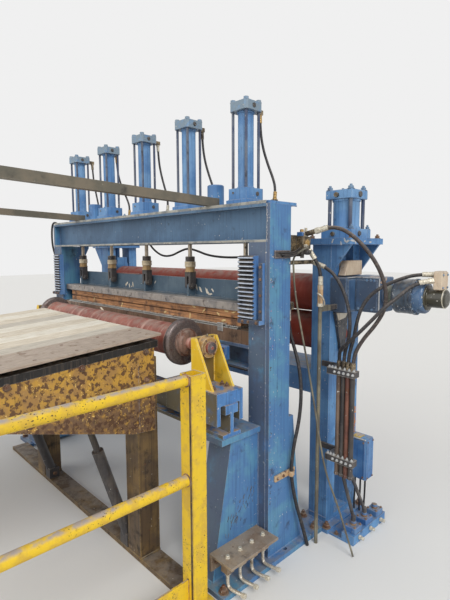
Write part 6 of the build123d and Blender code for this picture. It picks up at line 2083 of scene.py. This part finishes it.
    def leg_tubes(self) -> None:
        """Bend the four bright tubes out of the elbows at the leg's foot."""
        piece = Piece(TUBE_BRIGHT, FERRULE_PALE, RUSTY_BOLTS, seed=99)
        x = self.tube_x
        for number in range(self.tube_count):
            y = -0.470 + 0.330 * (number + 0.5) / self.tube_count
            piece.wear(TUBE_BRIGHT).pipe(
                ((x, y, 0.125), (x, y, 0.085), (x, y, 0.060), (x + 0.006, y, 0.045), (x + 0.024, y, 0.041),
                (x + 0.05, y + 0.004, 0.041), (x + 0.085, y + 0.012, 0.041)), 0.017)
            piece.wear(FERRULE_PALE).rod((x, y, 0.120), (x, y, 0.104), 0.028, 6, bevel=0.002)
            piece.rod((x, y, 0.1755), (x, y, 0.192), 0.026, 6, bevel=0.002)
            piece.rod((x, y, 0.190), (x, y, 0.2005), 0.020, 20, bevel=0.002)
            piece.rod((x + 0.083, y + 0.0115, 0.041), (x + 0.104, y + 0.0145, 0.041), 0.024, 6, bevel=0.002)
        piece.wear(RUSTY_BOLTS)
        for y in (-0.44, -0.305, -0.17):
            piece.bolt((1.184, y, 0.140), ALONG_X, 0.016, 0.009, 0.002, 0.005)
        piece.close("leg_tubes", "post_brown")

    def build(self) -> None:
        """Build the pipes and boxes of the pinch stand and the leg."""
        self.pipes()
        self.clamps()
        self.junction()
        self.valves()
        self.leg_tubes()


@dataclass(frozen=True)
class RearFittings:
    """Cluster of valve parts behind the near column, its clips, and the pipe loops on the far column."""

    loops: tuple[tuple[Point, ...], ...] = (
        ((-1.243, -0.09, 1.86), (-1.262, -0.10, 1.88), (-1.292, -0.115, 1.86), (-1.300, -0.12, 1.78),
        (-1.296, -0.12, 1.68), (-1.282, -0.11, 1.60), (-1.262, -0.10, 1.56), (-1.243, -0.09, 1.55)),
        ((-1.243, -0.06, 1.80), (-1.268, -0.07, 1.81), (-1.284, -0.08, 1.77), (-1.282, -0.08, 1.70),
        (-1.268, -0.07, 1.655), (-1.243, -0.06, 1.65)))

    def cluster(self) -> None:
        """Build the brass, white and dark fittings on the valve plate."""
        piece = Piece(FERRULE_BRASS, FERRULE_PALE, DARK_STEEL, JUNCTION_BLUE, RUSTY_BOLTS, seed=101)
        piece.rod((1.268, 0.134, 1.660), (1.276, 0.134, 1.660), 0.038, 6, bevel=0.002)
        piece.rod((1.248, 0.118, 1.692), (1.248, 0.118, 1.706), 0.026, 6, bevel=0.002)
        piece.rod((1.248, 0.118, 1.706), (1.248, 0.118, 1.730), 0.020, 20, bevel=0.002)
        piece.wear(FERRULE_PALE).rod((1.250, 0.150, 1.692), (1.250, 0.150, 1.712), 0.024, 6, bevel=0.002)
        piece.rod((1.250, 0.150, 1.712), (1.250, 0.150, 1.738), 0.016, 20, tip=0.014)
        piece.rod((1.268, 0.116, 1.644), (1.284, 0.116, 1.644), 0.018, 6, bevel=0.001)
        piece.rod((1.240, 0.168, 1.648), (1.240, 0.190, 1.648), 0.022, 6, bevel=0.001)
        piece.wear(DARK_STEEL).block((1.228, 0.104, 1.600), (1.262, 0.150, 1.629), 0.003)
        piece.rod((1.246, 0.126, 1.602), (1.246, 0.126, 1.582), 0.020, 6, bevel=0.001)
        piece.turned(
            ((0, 0), (0, 0.014), (0.020, 0.014), (0.022, 0.010), (0.032, 0.010), (0.032, 0)), (1.262, 0.134, 1.612),
            ALONG_X, 24, cut=0.001)
        piece.wear(JUNCTION_BLUE).block((1.229, 0.100, 1.694), (1.266, 0.112, 1.716))
        piece.wear(RUSTY_BOLTS)
        for y, z in product((0.048, 0.136), (1.600, 1.690)):
            piece.bolt((1.228, y, z), ALONG_X, 0.010, 0.005, 0.001)
        piece.close("valve_cluster", "fitting_steel")

    def clips(self) -> None:
        """Clip the column's hose and the pipe sleeve."""
        piece = Piece(CLIP_TAN, FERRULE_PALE, RUSTY_BOLTS, seed=103)
        piece.block((1.2415, -0.084, 0.428), (1.2535, 0.080, 0.460))
        piece.block((1.250, 0.020, 0.436), (1.282, 0.040, 0.450))
        piece.rod((1.266, 0.0305, 0.430), (1.266, 0.0305, 0.456), 0.028, bevel=0.002)
        piece.wear(RUSTY_BOLTS)
        for y in (-0.066, -0.020, 0.062):
            piece.bolt((1.2535, y, 0.444), ALONG_X, 0.012, 0.006, 0.001)
        piece.wear(CLIP_TAN).rod((1.318, 0.192, 1.330), (1.318, 0.192, 1.4415), 0.0285, bevel=0.002)
        piece.wear(FERRULE_PALE).rod((1.318, 0.192, 1.326), (1.318, 0.192, 1.344), 0.034, 6, bevel=0.002)
        piece.pipe(
            ((1.300, 0.215, 1.395), (1.305, 0.180, 1.397), (1.322, 0.172, 1.396), (1.337, 0.186, 1.380),
            (1.336, 0.206, 1.350), (1.322, 0.224, 1.325), (1.306, 0.250, 1.318)), 0.008)
        piece.close("pipe_clips", "fitting_steel")

    def far_loops(self) -> None:
        """Bend the steel tubes that loop beside the far column's top."""
        piece = Piece(CABLE_BLACK, FITTING_STEEL, seed=105)
        for route in self.loops:
            piece.wear(CABLE_BLACK).pipe(route, 0.017)
            piece.wear(FITTING_STEEL)
            for _, y, z in (route[0], route[-1]):
                piece.rod((-1.242, y, z), (-1.258, y, z), 0.028, 6, bevel=0.002)
        piece.close("far_tubes", "dark_steel")

    def build(self) -> None:
        """Build the fittings and clips."""
        self.cluster()
        self.clips()
        self.far_loops()


@dataclass(frozen=True)
class Racks:
    """Pale tooth lands of the racks, partly worn steel and partly painted highlight, and the bolts of the racks and
    guide bars.
    """

    teeth: int = 15
    pitch: float = 0.0213
    bottom: float = 1.277
    inner_x: float = 1.066
    width: float = 0.103
    tip_y: float = -0.171

    def build(self) -> None:
        """Build the racks' pale tooth lands, partly worn and partly painted highlight, and their bolts."""
        piece = Piece(TOOTH_WEAR_AND_HIGHLIGHT, RUSTY_BOLTS, twin=True, seed=107)
        for number in range(self.teeth):
            z = self.bottom + (number + 0.5) * self.pitch
            piece.block(
                (self.inner_x + 0.001, self.tip_y - 0.0008, z - 0.0032), (self.inner_x + self.width - 0.001,
                self.tip_y + 0.0006, z + 0.0034), 0.0006)
        piece.wear(RUSTY_BOLTS)
        for z in (1.32, 1.40, 1.48, 1.54):
            piece.bolt((1.200, -0.147, z), -ALONG_Y, 0.013, 0.006, 0.0)
        for x in (1.10, 1.14, 1.195):
            piece.bolt((x, self.tip_y, 1.266), -ALONG_Y, 0.012, 0.006, 0.001)
        piece.close("rack_lands", "frame_blue")


def main() -> None:
    """Load the frame, lay the hoses, dress the nodes and build each sub-assembly in order."""
    logging.basicConfig(level=logging.INFO, format="%(name)s: %(message)s")
    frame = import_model()
    bpy.context.scene.view_settings.view_transform = "Standard"
    PhotoView().build()
    Studio().build()
    for hose in (*HOSES, *CylinderHoses().hoses()):
        LOG.info("laid %s", hose.build().name)
    for finish, nodes in COATS.items():
        for node in nodes:
            slots = frame["nodes"][node].data.materials
            slots.clear()
            slots.append(finish.material())
    for assembly in (
            PressStand(), PressCylinders(), PressPads(), Racks(), PassRoll(), FeedTable(), GuardRail(), PinchStand(),
            DriveUnit(), PipeBank(), RearFittings(), Ferrules()):
        assembly.build()


if __name__ == "__main__":
    main()
